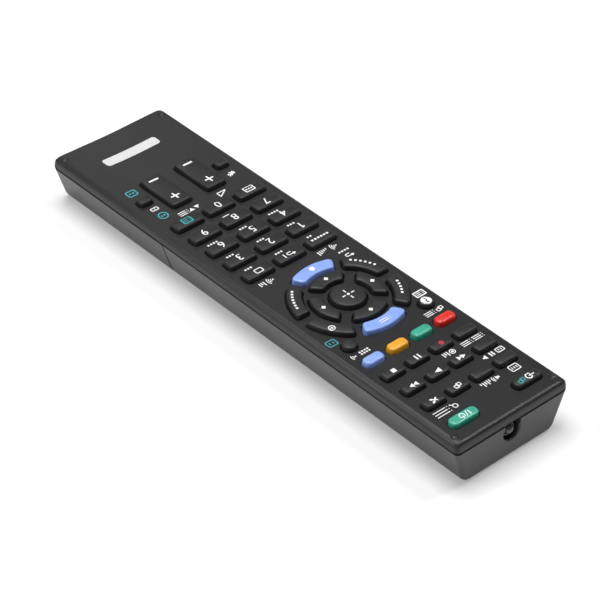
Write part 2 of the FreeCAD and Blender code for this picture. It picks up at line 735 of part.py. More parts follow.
def lower_case():
    block = lower_block()
    front = block.common(box(-WIDTH, WIDTH, SEAM_Y, LENGTH, -MARGIN, TOP_Z))
    hollow = trough(CASE_WALL, FLOOR, PARTING_Z + MARGIN, SEAM_Y + BULKHEAD,
                    HALF_LENGTH - CASE_WALL - FRONT_DRAFT)
    shell = front.cut([hollow, parting_groove(PARTING_GROOVE, SEAM_Y, LENGTH)])
    top_of_seam = box(-WIDTH, WIDTH, SEAM_Y - MARGIN, SEAM_Y + BULKHEAD + MARGIN, BOARD_Z, TOP_Z)
    top_of_seam = top_of_seam.common(trough(CASE_WALL, BOARD_Z, TOP_Z, -LENGTH, LENGTH))
    posts = [peg(POST, x, y, FLOOR - MARGIN / 2, BOARD_Z) for x, y in boss_places() if y > SEAM_Y]
    body = fuse([shell.cut(top_of_seam), rear_frame(), led_cradle()] + posts + catches())
    return body.cut([led_notch()] + tab_slots() + contact_slots() + rear_hook_slots())


def tab_slots():
    """Openings in the bulkhead for the battery cover's tabs."""
    z0, z1 = FLOOR, FLOOR + TAB_THICKNESS + 2 * COVER_GAP
    slot = box(TAB_X - TAB_WIDTH / 2 - COVER_GAP, TAB_X + TAB_WIDTH / 2 + COVER_GAP,
               BAY_FRONT_Y - MARGIN, SEAM_Y + BULKHEAD + MARGIN, z0, z1)
    return both_sides(slot)


def contact_slots():
    """Openings in the deck for the front contacts' solder tabs."""
    gap = STEM_CLEARANCE
    slot = box(CELL_X - CONTACT_TAB_WIDTH / 2 - gap, CELL_X + CONTACT_TAB_WIDTH / 2 + gap,
               BAY_FRONT_Y - CONTACT_SHEET - gap, BAY_FRONT_Y, DECK_Z - MARGIN, BOARD_Z + MARGIN)
    return both_sides(slot)


def cover_rails():
    """Ribs inside the cover's side walls that ride on the skirts' lips."""
    inner = side_at(RAIL_Z, COVER_WALL) - RAIL_REACH
    y0 = -HALF_LENGTH + COVER_WALL / 2
    y1 = BAY_FRONT_Y - COVER_GAP - MARGIN
    band = trough(COVER_WALL / 2, FLOOR / 2, PARTING_Z, y0, y1)
    bar = box(inner, WIDTH, y0, y1, RAIL_Z, RAIL_Z + RAIL_HEIGHT)
    return [rail.common(band) for rail in both_sides(bar)]


def cover_tabs():
    """Two tabs on the cover's front edge that slip under the lower case's floor line."""
    y0 = BAY_FRONT_Y - COVER_GAP - MARGIN
    z0 = FLOOR + COVER_GAP
    root = box(TAB_X - TAB_WIDTH / 2, TAB_X + TAB_WIDTH / 2, y0, SEAM_Y - SEAM_GAP,
               FLOOR / 2, z0 + TAB_THICKNESS)
    tab = box(TAB_X - TAB_WIDTH / 2, TAB_X + TAB_WIDTH / 2, y0, SEAM_Y + TAB_REACH,
              z0, z0 + TAB_THICKNESS)
    return both_sides(root) + both_sides(tab)


def grip():
    """The finger grip under the cover: a shallow recess that leaves a row of ribs standing."""
    middle = SEAM_Y - GRIP_FROM_SEAM
    outline = rounded_outline(0, middle, GRIP_LENGTH / 2, GRIP_WIDTH / 2, GRIP_CORNER,
                              flats_in(GRIP_CORNER, 90))
    recess = Part.Face(closed(outline)).extrude(vector(0, 0, GRIP_DEPTH))
    pitch = GRIP_WIDTH / (GRIP_RIBS + 1)
    ribs = [box(-GRIP_LENGTH, GRIP_LENGTH, middle + offset - GRIP_RIB_WIDTH / 2,
                middle + offset + GRIP_RIB_WIDTH / 2, 0, GRIP_DEPTH)
            for offset in [(index - (GRIP_RIBS - 1) / 2) * pitch for index in range(GRIP_RIBS)]]
    return recess.cut(ribs)


def battery_cover():
    front = SEAM_Y - SEAM_GAP
    shell = lower_block().common(box(-WIDTH, WIDTH, -LENGTH, front, -MARGIN, TOP_Z))
    hollow = trough(COVER_WALL, FLOOR, PARTING_Z + MARGIN, -HALF_LENGTH + COVER_WALL, front + MARGIN)
    shell = shell.cut([hollow, parting_groove(COVER_GROOVE, -LENGTH, front)])
    shell = shell.cut(box(-WIDTH, WIDTH, -LENGTH, LENGTH, PARTING_Z - COVER_GAP, TOP_Z))
    return fuse([shell.cut(grip())] + cover_rails() + cover_tabs())


# Inner parts

def sheet(z0, thickness):
    """A flat sheet with the board's outline."""
    middle, half = (BOARD_FRONT_Y + BOARD_REAR_Y) / 2, (BOARD_FRONT_Y - BOARD_REAR_Y) / 2
    outline = rounded_outline(0, middle, BOARD_HALF_WIDTH, half, BOARD_CORNER,
                              flats_in(BOARD_CORNER, 90))
    solid = Part.Face(closed(outline)).extrude(vector(0, 0, thickness))
    solid.translate(vector(0, 0, z0))
    return solid


def keypad_mat(keys):
    """The rubber sheet over the board, with a hole for each stem and each boss."""
    holes = [peg(BOSS + 2 * BOSS_CLEARANCE, x, y, MAT_Z - MARGIN, MAT_Z + MAT + MARGIN)
             for x, y in boss_places()]
    for key in keys:
        holes += key.mat_holes()
    return sheet(MAT_Z, MAT).cut(holes)


def circuit_board():
    """The board, with a bay in its front edge for the diode."""
    half = LED_FLANGE_DIAMETER / 2 + LED_BAY_GAP
    bay = box(-half, half, led_back() - LED_BAY_GAP, LENGTH, BOARD_Z - MARGIN, MAT_Z + MARGIN)
    return sheet(BOARD_Z, BOARD).cut(bay)


def from_board_front(place):
    x, back = place
    return x, BOARD_FRONT_Y - back


def board_components():
    """The control chip, the storage capacitor and the resonator under the board."""
    width, depth, height = CHIP_SIZE
    x, y = from_board_front(CHIP_PLACE)
    chip = box(x - width / 2, x + width / 2, y - depth / 2, y + depth / 2, BOARD_Z - height, BOARD_Z)
    rim = edges_where(chip, lambda e: e.BoundBox.ZMax < BOARD_Z - height + 1e-3)
    chip = chip.makeChamfer(CHIP_EDGE, rim)
    x, y = from_board_front(CAPACITOR_PLACE)
    radius = CAPACITOR_DIAMETER / 2
    can = turned([(radius, -CAPACITOR_LENGTH / 2), (radius, CAPACITOR_LENGTH / 2)],
                 vector(x, y, BOARD_Z - radius), vector(0, 1, 0))
    width, depth, height = RESONATOR_SIZE
    x, y = from_board_front(RESONATOR_PLACE)
    resonator = box(x - width / 2, x + width / 2, y - depth / 2, y + depth / 2,
                    BOARD_Z - height, BOARD_Z)
    posts = edges_where(resonator, lambda e: runs_along(e, vector(0, 0, 1)))
    return Part.makeCompound([chip, can, resonator.makeChamfer(RESONATOR_CORNER, posts)])


def led_back():
    return HALF_LENGTH - LED_RECESS - LED_LENGTH


def ir_led():
    """The diode: lens, flange and two leads that bend up to the board."""
    radius = LED_DIAMETER / 2
    back = led_back()
    start = vector(0, back, LED_Z)
    axis = vector(0, 1, 0)
    flange = turned([(LED_FLANGE_DIAMETER / 2, 0), (LED_FLANGE_DIAMETER / 2, LED_FLANGE)], start, axis)
    dome = [(across, LED_LENGTH - radius + along)
            for across, along in turn_points(radius, 0, BUMP_TURN, BUMP_STEPS)]
    lens = turned([(radius, 0)] + dome, start, axis)
    leads = []
    for side in (-1, 1):
        x0 = side * LED_LEAD_PITCH / 2 - LED_LEAD / 2
        x1, bend, low = x0 + LED_LEAD, back - LED_LEAD_RUN, LED_Z - LED_LEAD / 2
        run = box(x0, x1, bend, back, low, low + LED_LEAD)
        rise = box(x0, x1, bend, bend + LED_LEAD, low, BOARD_Z)
        leads += [run, rise]
    return fuse([flange, lens] + leads)


def cell(x, nub_y, way):
    """One battery with its positive end at nub_y, lying towards way (+1 or -1) along Y."""
    axis = vector(0, way, 0)
    start = vector(x, nub_y, CELL_Z)
    radius = CELL_DIAMETER / 2
    body = turned([(radius - CELL_EDGE, CELL_NUB_LENGTH), (radius, CELL_NUB_LENGTH + CELL_EDGE),
                   (radius, CELL_LENGTH - CELL_EDGE), (radius - CELL_EDGE, CELL_LENGTH)], start, axis)
    nub = turned([(CELL_NUB_DIAMETER / 2, 0), (CELL_NUB_DIAMETER / 2, CELL_NUB_LENGTH + CELL_EDGE)],
                 start, axis)
    return body.fuse(nub)


def aaa_batteries():
    front = BAY_FRONT_Y - CONTACT_SHEET
    rear = BAY_REAR_Y + CONTACT_SHEET
    return Part.makeCompound([cell(CELL_X, front, -1), cell(-CELL_X, rear, 1)])


def battery_spring(x, plate_y, way):
    """A conical spring from a contact plate towards the flat end of a battery."""
    height = SPRING_LENGTH - SPRING_WIRE - CONTACT_MARGIN
    base = (SPRING_BASE_DIAMETER - SPRING_WIRE) / 2
    tip = (SPRING_TIP_DIAMETER - SPRING_WIRE) / 2
    count = SPRING_TURNS * SPRING_STEPS
    rings = []
    for step in range(count + 1):
        share = step / count
        angle = 2 * math.pi * SPRING_TURNS * share
        outward = vector(math.cos(angle), 0, math.sin(angle))
        along = vector(0, way, 0)
        middle = (vector(x, plate_y, CELL_Z) + along * (SPRING_WIRE / 2 + height * share)
                  + outward * (base + (tip - base) * share))
        points = [middle + (outward * math.cos(turn) + along * math.sin(turn)) * (SPRING_WIRE / 2)
                  for turn in (2 * math.pi * side / SPRING_SIDES for side in range(SPRING_SIDES))]
        rings.append(closed(points))
    return Part.makeLoft(rings, True, True)


def battery_springs():
    front = BAY_FRONT_Y - CONTACT_SHEET
    rear = BAY_REAR_Y + CONTACT_SHEET
    return Part.makeCompound([battery_spring(CELL_X, rear, 1), battery_spring(-CELL_X, front, -1)])


def contact_plates():
    """Two front plates with solder tabs, and the rear plate that joins the two batteries."""
    half = CONTACT_WIDTH / 2
    z0, z1 = CELL_Z - half, CELL_Z + half
    front, rear = BAY_FRONT_Y, BAY_REAR_Y
    plate = box(CELL_X - half, CELL_X + half, front - CONTACT_SHEET, front, z0, z1)
    tab = box(CELL_X - CONTACT_TAB_WIDTH / 2, CELL_X + CONTACT_TAB_WIDTH / 2,
              front - CONTACT_SHEET, front, z1 - MARGIN, BOARD_Z)
    bridge = box(-CELL_X - half, CELL_X + half, rear, rear + CONTACT_SHEET, z0, z1)
    return Part.makeCompound(both_sides(plate.fuse(tab).removeSplitter()) + [bridge])


def main():
    keys = all_keys()
    pieces = {
        "upper_case": upper_case(keys),
        "lower_case": lower_case(),
        "battery_cover": battery_cover(),
        "keypad_mat": keypad_mat(keys),
        "circuit_board": circuit_board(),
        "board_components": board_components(),
        "ir_led": ir_led(),
        "aaa_batteries": aaa_batteries(),
        "battery_springs": battery_springs(),
        "contact_plates": contact_plates(),
    }
    pieces.update({key.name: key.solid() for key in keys})
    os.makedirs("parts", exist_ok=True)
    for name, shape in pieces.items():
        shape.exportStep(f"parts/{name}.step")
        print(name, len(shape.Solids), round(shape.Volume, 1), shape.isValid())


main()
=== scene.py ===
"""A television handset on a pale studio floor: rubber keys, printed marks, finishes, lamps and camera."""
import functools
import logging
import math
from dataclasses import dataclass, replace
from enum import Enum
from typing import Iterable

import bmesh
import bpy
from mathutils import Matrix, Vector
from mathutils.bvhtree import BVHTree


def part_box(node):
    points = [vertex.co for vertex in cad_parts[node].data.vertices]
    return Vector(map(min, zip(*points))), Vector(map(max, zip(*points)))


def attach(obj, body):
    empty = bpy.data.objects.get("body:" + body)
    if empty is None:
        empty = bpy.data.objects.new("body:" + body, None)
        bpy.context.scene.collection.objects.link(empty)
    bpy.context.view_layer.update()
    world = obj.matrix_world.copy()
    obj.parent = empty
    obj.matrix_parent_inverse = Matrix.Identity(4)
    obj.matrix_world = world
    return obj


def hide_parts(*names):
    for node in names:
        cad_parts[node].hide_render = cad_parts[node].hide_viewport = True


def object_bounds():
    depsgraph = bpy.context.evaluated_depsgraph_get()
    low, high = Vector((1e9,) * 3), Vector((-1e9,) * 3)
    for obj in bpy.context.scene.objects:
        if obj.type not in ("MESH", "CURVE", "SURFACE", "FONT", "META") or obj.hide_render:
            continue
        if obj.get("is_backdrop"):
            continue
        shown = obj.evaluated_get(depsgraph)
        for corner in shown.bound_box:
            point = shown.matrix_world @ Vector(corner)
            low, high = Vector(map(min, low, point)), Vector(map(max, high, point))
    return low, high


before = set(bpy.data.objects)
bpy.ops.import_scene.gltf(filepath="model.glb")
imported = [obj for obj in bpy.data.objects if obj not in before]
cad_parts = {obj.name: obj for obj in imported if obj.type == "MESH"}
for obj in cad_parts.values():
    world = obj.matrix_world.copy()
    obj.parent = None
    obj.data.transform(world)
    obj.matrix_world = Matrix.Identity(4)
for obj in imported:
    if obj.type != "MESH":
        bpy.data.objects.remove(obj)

log = logging.getLogger("handset")
MM = 0.001
WELD = 1e-4
Pair = tuple[float, float]
Triple = tuple[float, float, float]
Colour = Triple
Mesh = bmesh.types.BMesh


# Shader maths

@dataclass(frozen=True)
class Signal:
    """One output of a node, on which Python operators add Math nodes."""

    recipe: "Recipe"
    socket: bpy.types.NodeSocket

    def __add__(self, other: "Signal | float") -> "Signal":
        """The sum."""
        return self.recipe.maths("ADD", self, other)

    __radd__ = __add__

    def __sub__(self, other: "Signal | float") -> "Signal":
        """The difference."""
        return self.recipe.maths("SUBTRACT", self, other)

    def __rsub__(self, other: float) -> "Signal":
        """The difference from a number."""
        return self.recipe.maths("SUBTRACT", other, self)

    def __mul__(self, other: "Signal | float") -> "Signal":
        """The product."""
        return self.recipe.maths("MULTIPLY", self, other)

    __rmul__ = __mul__

    def between(self, low: float, high: float) -> "Signal":
        """A smooth step from 0 at low to 1 at high."""
        return self.recipe.signal("ShaderNodeMapRange", "Result",
                                  {"Value": self, "From Min": low, "From Max": high},
                                  interpolation_type="SMOOTHSTEP")

    def band(self, low: float, high: float, soft: float) -> "Signal":
        """1 from low to high, and 0 beyond soft edges outside them."""
        return self.between(low - soft, low) * (1 - self.between(high, high + soft))


def named_socket(sockets: bpy.types.bpy_prop_collection, name: str) -> bpy.types.NodeSocket:
    """The socket with this identifier, or else with this name."""
    return next((each for each in sockets if each.identifier == name), None) or sockets[name]


class Recipe:
    """The nodes of one material or of the room, from coordinates to the last shader."""

    def __init__(self, owner: bpy.types.Material | bpy.types.World) -> None:
        """Start with no nodes.

        Args:
            owner: The material or world whose nodes these are.
        """
        owner.use_nodes = True
        self.tree = owner.node_tree
        self.tree.nodes.clear()

    def node(self, kind: str, sockets: dict | None = None, **settings: str | int) -> bpy.types.Node:
        """Add a node, with its settings first and its sockets after them.

        Args:
            kind: The node's type.
            sockets: A value or a Signal for each socket, by name or identifier.
            settings: The node's own settings.

        Returns:
            The new node.
        """
        node = self.tree.nodes.new(kind)
        for name, value in settings.items():
            setattr(node, name, value)
        for name, value in (sockets or {}).items():
            socket = named_socket(node.inputs, name)
            if isinstance(value, Signal):
                self.tree.links.new(value.socket, socket)
            else:
                socket.default_value = (*value, 1) if socket.type == "RGBA" else value
        return node

    def signal(self, kind: str, output: str, sockets: dict | None = None,
               **settings: str | int) -> Signal:
        """Add a node, as node does, and take the output with a name or identifier."""
        return Signal(self, named_socket(self.node(kind, sockets, **settings).outputs, output))

    def maths(self, operation: str, first: Signal | float, second: Signal | float) -> Signal:
        """Add a Math node of two values."""
        return self.signal("ShaderNodeMath", "Value", {"Value": first, "Value_001": second},
                           operation=operation)

    def measure(self, operation: str, **vectors: Signal) -> Signal:
        """Add a Vector Math node that gives a number."""
        return self.signal("ShaderNodeVectorMath", "Value", vectors, operation=operation)

    def place(self, size: Iterable[float], at: Iterable[float] = (0, 0, 0)) -> Signal:
        """Object coordinates, in steps of a size about a point.

        Args:
            size: The step along each axis, in millimetres.
            at: The point that becomes the middle, in millimetres.

        Returns:
            The mapped coordinates.
        """
        steps = [1 / (side * MM) for side in size]
        shift = [-where * MM * step for where, step in zip(at, steps)]
        ordinary = self.signal("ShaderNodeTexCoord", "Object")
        return self.signal("ShaderNodeMapping", "Vector",
                           {"Vector": ordinary, "Location": shift, "Scale": steps})

    def along(self, axis: str) -> Signal:
        """One object coordinate, in millimetres."""
        ordinary = self.signal("ShaderNodeTexCoord", "Object")
        return self.signal("ShaderNodeSeparateXYZ", axis, {"Vector": ordinary}) * (1 / MM)

    def noise(self, size: float, detail: float = 2.0, stretch: Iterable[float] = (1, 1, 1)) -> Signal:
        """Soft noise about 0.5, whose features have a size in millimetres and a stretch."""
        place = self.place([size * more for more in stretch])
        return self.signal("ShaderNodeTexNoise", "Fac", {"Vector": place, "Scale": 1.0, "Detail": detail})

    def cells(self, size: float, feature: str = "F1", stretch: Iterable[float] = (1, 1, 1)) -> Signal:
        """The distance inside random cells of a size in millimetres, as a share of it."""
        place = self.place([size * more for more in stretch])
        return self.signal("ShaderNodeTexVoronoi", "Distance", {"Vector": place, "Scale": 1.0},
                           feature=feature)

    def blend(self, factor: Signal | float, first: Signal | Colour, second: Signal | Colour) -> Signal:
        """A colour between two colours, the first where the factor is 0."""
        return self.signal("ShaderNodeMix", "Result_Color",
                           {"Factor_Float": factor, "A_Color": first, "B_Color": second},
                           data_type="RGBA")

    def softened(self, radius: float, samples: int = 6) -> Signal:
        """A normal that turns smoothly over edges and flats, within a radius in millimetres."""
        return self.signal("ShaderNodeBevel", "Normal", {"Radius": radius * MM}, samples=samples)

    def rubbed(self, radius: float) -> Signal:
        """How near a point lies to an edge, from 0 to 1.

        Args:
            radius: How far from the edge it reaches, in millimetres.

        Returns:
            The nearness.
        """
        own = self.signal("ShaderNodeNewGeometry", "Normal")
        facing = self.measure("DOT_PRODUCT", Vector=self.softened(radius, 4), Vector_001=own)
        return (1 - facing).between(0.01, 0.16)

    def relief(self, height: Signal, depth: float, base: Signal | None = None) -> Signal:
        """A normal with bumps of a height from 0 to 1, whose range is a depth in millimetres."""
        below = {} if base is None else {"Normal": base}
        return self.signal("ShaderNodeBump", "Normal", {"Height": height, "Distance": depth * MM, **below})

    def surface(self, colour: Signal | Colour, roughness: Signal | float, normal: Signal,
                **sockets: Signal | float | Iterable[float]) -> None:
        """End the recipe in a surface.

        Args:
            colour: The base colour.
            roughness: The roughness.
            normal: The bumped normal.
            sockets: Other sockets, with underscores for the spaces of their names.
        """
        links = {"Base Color": colour, "Roughness": roughness, "Normal": normal,
                 **{name.replace("_", " "): value for name, value in sockets.items()}}
        self.end(self.signal("ShaderNodeBsdfPrincipled", "BSDF", links))

    def mixed(self, factor: Signal, first: Signal, second: Signal) -> Signal:
        """A shader between two shaders."""
        return self.signal("ShaderNodeMixShader", "Shader",
                           {"Fac": factor, "Shader": first, "Shader_001": second})

    def end(self, shader: Signal, kind: str = "ShaderNodeOutputMaterial") -> None:
        """Send a shader to the output."""
        self.node(kind, {"Surface": shader})


# Finishes

@dataclass(frozen=True)
class Finish:
    """What a surface is made of."""

    name: str
    colour: Colour

    def mix(self, recipe: Recipe) -> None:
        """Write the finish's nodes into a recipe."""
        raise NotImplementedError

    def tone(self, factor: float, more: float = 0.0) -> Colour:
        """The finish's colour, made lighter or darker."""
        return tuple(min(1.0, factor * part + more) for part in self.colour)

    @functools.cache
    def material(self) -> bpy.types.Material:
        """The finish's one material.

        Returns:
            The material.
        """
        material = bpy.data.materials.new(self.name)
        self.mix(Recipe(material))
        return material

    def dress(self, piece: bpy.types.Object) -> None:
        """Give a piece this finish in its only slot."""
        piece.data.materials.clear()
        piece.data.materials.append(self.material())

    def dress_node(self, node: str) -> None:
        """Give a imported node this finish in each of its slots."""
        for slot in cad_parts[node].material_slots:
            slot.material = self.material()


@dataclass(frozen=True)
class MouldedShell(Finish):
    """Spark-textured black plastic, a little polished by hands along its edges."""

    colour: Colour = (0.020, 0.020, 0.021)
    grain: float = 0.22
    depth: float = 0.006
    roughness: float = 0.38
    ior: float = 1.42
    rounding: float = 0.45
    parting: float = 15.1
    cover_joint: float | None = None

    def mix(self, recipe: Recipe) -> None:
        """Fine pits, faint clouds in the black, smoother edges, and painted shade along the parting line and
        round the battery cover.

        Args:
            recipe: What gets the nodes.
        """
        pits = recipe.noise(self.grain, 3.0)
        clouds = recipe.noise(9.0)
        handled = recipe.noise(31.0, 1.0).between(0.42, 0.68)
        edge = recipe.rubbed(0.35)
        colour = recipe.blend(clouds * 0.6 + pits * 0.4, self.tone(0.86), self.tone(1.14))
        colour = recipe.blend(edge * 0.15, colour, self.tone(1.9, 0.006))
        # Painted shade: a near-black, rougher band along the parting line, and round the battery cover where
        # it has one, stands in for the shadow in these gaps.
        seam_shade = recipe.along("Z").band(self.parting - 0.50, self.parting + 0.30, 0.12)
        if self.cover_joint is not None:
            joint_shade = recipe.along("Y").band(self.cover_joint - 0.30, self.cover_joint + 0.30, 0.12)
            seam_shade = 1 - (1 - seam_shade) * (1 - joint_shade)
        colour = recipe.blend(seam_shade * 0.95, colour, (0.001, 0.001, 0.001))
        roughness = self.roughness + (pits - 0.5) * 0.12 - handled * 0.05 - edge * 0.08 + seam_shade * 0.45
        normal = recipe.relief(pits, self.depth, recipe.softened(self.rounding))
        recipe.surface(colour, roughness, normal, IOR=self.ior)


@dataclass(frozen=True)
class KeyRubber(Finish):
    """Silicone rubber under a thin satin lacquer."""

    colour: Colour = (0.018, 0.018, 0.019)
    roughness: float = 0.50
    coat: float = 0.0
    bleed: float = 0.0

    def mix(self, recipe: Recipe) -> None:
        """Soft mottling, dust-fine grain and a paler worn rim.

        Args:
            recipe: What gets the nodes.
        """
        grain = recipe.noise(0.16)
        mottle = recipe.noise(2.4)
        edge = recipe.rubbed(0.4)
        colour = recipe.blend(mottle * 0.7 + grain * 0.3, self.tone(0.88), self.tone(1.10))
        colour = recipe.blend(edge * 0.35, colour, self.tone(1.25, 0.012))
        roughness = self.roughness + (grain - 0.5) * 0.14 + (mottle - 0.5) * 0.06
        recipe.surface(colour, roughness, recipe.relief(grain, 0.003), IOR=1.43, Coat_Weight=self.coat,
                       Coat_Roughness=0.22, Subsurface_Weight=self.bleed, Subsurface_Scale=MM,
                       Subsurface_Radius=(1.2, 1.2, 1.2))


@dataclass(frozen=True)
class ColouredRubber(KeyRubber):
    """Coloured rubber, which light soaks into, under a glossier lacquer."""

    roughness: float = 0.36
    coat: float = 0.25
    bleed: float = 0.5


@dataclass(frozen=True)
class ScreenInk(Finish):
    """Ink that was printed through a mesh, a little thin in places."""

    colour: Colour = (0.90, 0.90, 0.89)

    def mix(self, recipe: Recipe) -> None:
        """The mesh's weave and pinholes.

        Args:
            recipe: What gets the nodes.
        """
        weave = recipe.noise(0.12, 1.0)
        thin = recipe.noise(0.9).between(0.30, 0.62)
        colour = recipe.blend(thin * 0.8 + weave * 0.2, self.tone(0.92), self.colour)
        recipe.surface(colour, 0.42 + weave * 0.2, recipe.relief(weave, 0.002), IOR=1.47)


@dataclass(frozen=True)
class Laminate(Finish):
    """Glass-fibre board under green solder mask, with routed copper below it."""

    colour: Colour = (0.018, 0.125, 0.050)

    def mix(self, recipe: Recipe) -> None:
        """Copper routes, ground areas and the weave of the glass.

        Args:
            recipe: What gets the nodes.
        """
        routes = recipe.cells(3.1, "DISTANCE_TO_EDGE", (1, 1.9, 40)).between(0.05, 0.11)
        weave = recipe.noise(0.5, 1.0, (1, 1, 8))
        cloud = recipe.noise(14.0, 1.0).between(0.45, 0.55)
        colour = recipe.blend(routes, self.tone(1.7), self.colour)
        colour = recipe.blend(cloud * 0.5, colour, self.tone(0.62))
        height = weave * 0.3 + (1 - routes) * 0.7
        recipe.surface(colour, 0.28 + weave * 0.12, recipe.relief(height, 0.03), IOR=1.55)


@dataclass(frozen=True)
class MouldedBody(Finish):
    """Filled epoxy, as chips and small parts are moulded in."""

    colour: Colour = (0.022, 0.022, 0.025)

    def mix(self, recipe: Recipe) -> None:
        """Glass filler that glints and a dusty roughness.

        Args:
            recipe: What gets the nodes.
        """
        filler = recipe.cells(0.16).between(0.15, 0.5)
        dust = recipe.noise(1.3, 3.0)
        colour = recipe.blend(dust * 0.6 + (1 - filler) * 0.4, self.colour, self.tone(1.8))
        recipe.surface(colour, 0.46 + dust * 0.2, recipe.relief(filler, 0.008), IOR=1.52)


@dataclass(frozen=True)
class MatSilicone(Finish):
    """The keypad's own grey silicone, unlacquered."""

    colour: Colour = (0.115, 0.118, 0.125)

    def mix(self, recipe: Recipe) -> None:
        """Talc-dusted mottling.

        Args:
            recipe: What gets the nodes.
        """
        grain = recipe.noise(0.2)
        colour = recipe.blend(recipe.noise(1.1, 4.0), self.tone(0.8), self.tone(1.2))
        recipe.surface(colour, 0.58 + grain * 0.16, recipe.relief(grain, 0.006), IOR=1.41)


@dataclass(frozen=True)
class PlatedSteel(Finish):
    """Nickel-plated spring steel with drawing marks."""

    colour: Colour = (0.66, 0.64, 0.60)
    roughness: float = 0.24
    drawn: Triple = (1, 14, 1)

    def mix(self, recipe: Recipe) -> None:
        """Drawing lines, a few dull spots and a warm tarnish.

        Args:
            recipe: What gets the nodes.
        """
        lines = recipe.noise(0.14, 2.0, self.drawn)
        tarnish = recipe.noise(3.2, 3.0).between(0.50, 0.72)
        colour = recipe.blend(tarnish * 0.35, self.colour, (0.46, 0.40, 0.33))
        recipe.surface(colour, self.roughness + lines * 0.14 + tarnish * 0.12,
                       recipe.relief(lines, 0.004), Metallic=1.0)


@dataclass(frozen=True)
class CellSleeve(Finish):
    """The printed film round a cell: dark, with a warm band at the positive end."""

    colour: Colour = (0.020, 0.022, 0.026)
    warm: Colour = (0.56, 0.27, 0.11)
    start: float = 0.0
    way: float = 1.0

    def mix(self, recipe: Recipe) -> None:
        """A band over the first quarter, fine scuffs along the film, and a foil glint.

        Args:
            recipe: What gets the nodes.
        """
        depth = (recipe.along("Y") - self.start) * self.way
        foil = 1 - depth.between(11.4, 11.5) + depth.band(12.15, 12.6, 0.05)
        scuffs = recipe.noise(0.35, 3.0, (1, 18, 1)).between(0.55, 0.75)
        colour = recipe.blend(foil, self.colour, self.warm)
        colour = recipe.blend(scuffs * 0.25, colour, (0.35, 0.35, 0.35))
        recipe.surface(colour, 0.27 + scuffs * 0.2, recipe.relief(scuffs, 0.004),
                       Metallic=foil * 0.85, IOR=1.5)


@dataclass(frozen=True)
class SmokyEpoxy(Finish):
    """Smoky epoxy that is cast round a diode, with a hard gloss."""

    colour: Colour = (0.080, 0.077, 0.085)
    height: float = 10.9

    def mix(self, recipe: Recipe) -> None:
        """Casting swirls in the gloss, and the dark cup that shows through the middle.

        Args:
            recipe: What gets the nodes.
        """
        swirl = recipe.noise(1.6, 2.0, (1, 2, 1))
        across = recipe.measure("LENGTH", Vector=recipe.place((1, 1000, 1), (0, 0, self.height)))
        colour = recipe.blend(swirl, self.tone(0.8), self.colour)
        colour = recipe.blend((1 - across.between(0.6, 1.3)) * 0.9, colour, (0.005, 0.005, 0.006))
        recipe.surface(colour, 0.06 + swirl * 0.06, recipe.relief(swirl, 0.002), IOR=1.50,
                       Coat_Weight=0.5, Coat_Roughness=0.05)


@dataclass(frozen=True)
class StudioFloor(Finish):
    """Pale paper that holds the handset's shadow, and glows fully white to the camera far from it."""

    colour: Colour = (0.93, 0.93, 0.93)
    glow: float = 0.30
    near: float = 250.0
    far: float = 750.0

    def mix(self, recipe: Recipe) -> None:
        """Paper tooth, and a light of its own towards the camera, glass and gloss.

        Args:
            recipe: What gets the nodes.
        """
        tooth = recipe.noise(0.9, 3.0)
        colour = recipe.blend(tooth, self.tone(0.985), self.colour)
        paper = recipe.signal("ShaderNodeBsdfPrincipled", "BSDF", {
            "Base Color": colour, "Roughness": 0.85, "Specular IOR Level": 0.1,
            "Normal": recipe.relief(tooth, 0.01)})
        glow = recipe.signal("ShaderNodeEmission", "Emission", {"Color": (1, 1, 1), "Strength": 1.0})
        seen, mirrored, through = (recipe.signal("ShaderNodeLightPath", f"Is {ray} Ray")
                                   for ray in ("Camera", "Glossy", "Transmission"))
        away = recipe.measure("LENGTH", Vector=recipe.place((1, 1, 1))).between(self.near, self.far)
        share = recipe.maths("MINIMUM", seen + mirrored + through, 1.0)
        recipe.end(recipe.mixed(share * (self.glow + away * (1 - self.glow)), paper, glow))


class KeyColour(Enum):
    """The rubbers of the keys."""

    BLACK = KeyRubber("black_key_rubber")
    RED = ColouredRubber("red_key_rubber", (0.72, 0.030, 0.020))
    GREEN = ColouredRubber("green_key_rubber", (0.045, 0.40, 0.28))
    YELLOW = ColouredRubber("yellow_key_rubber", (0.84, 0.39, 0.024))
    BLUE = ColouredRubber("blue_key_rubber", (0.28, 0.42, 0.86))
    VIOLET_BLUE = ColouredRubber("ring_blue_key_rubber", (0.26, 0.40, 0.86))

    @property
    def slot(self) -> str:
        """The record's material slot."""
        return f"key_rubber_{self.name.lower()}"


class Ink(Enum):
    """The inks of the printed marks."""

    WHITE = ScreenInk("white_ink")
    TEAL = ScreenInk("teal_ink", (0.045, 0.36, 0.38))
    RED = ScreenInk("red_ink", (0.42, 0.030, 0.045))
    DARK = ScreenInk("dark_ink", (0.03, 0.03, 0.03))
    PLATE = ScreenInk("plate_grey_ink", (0.68, 0.68, 0.68))


# Mesh making, in millimetres until a piece is finished

def linked(name: str, data: bpy.types.ID) -> bpy.types.Object:
    """Put a new object into the scene.

    Args:
        name: The object's name.
        data: Its mesh, curve, lamp or camera.

    Returns:
        The object.
    """
    made = bpy.data.objects.new(name, data)
    bpy.context.scene.collection.objects.link(made)
    return made


def flat_bar(width: float, depth: float, corner: float = 0.0, steps: int = 6) -> Mesh:
    """One flat face with straight sides and rounded corners, about the origin.

    Args:
        width: Its size along X.
        depth: Its size along Y.
        corner: The corners' radius.
        steps: The steps in each corner.

    Returns:
        The mesh that holds it.
    """
    sheet = bmesh.new()
    corners = bmesh.ops.create_grid(sheet, x_segments=1, y_segments=1, size=0.5)["verts"]
    bmesh.ops.scale(sheet, vec=(width, depth, 1), verts=corners)
    if corner:
        bmesh.ops.bevel(sheet, geom=corners, offset=corner, offset_type="OFFSET", segments=steps,
                        profile=0.5, affect="VERTICES", material=-1)
    return sheet


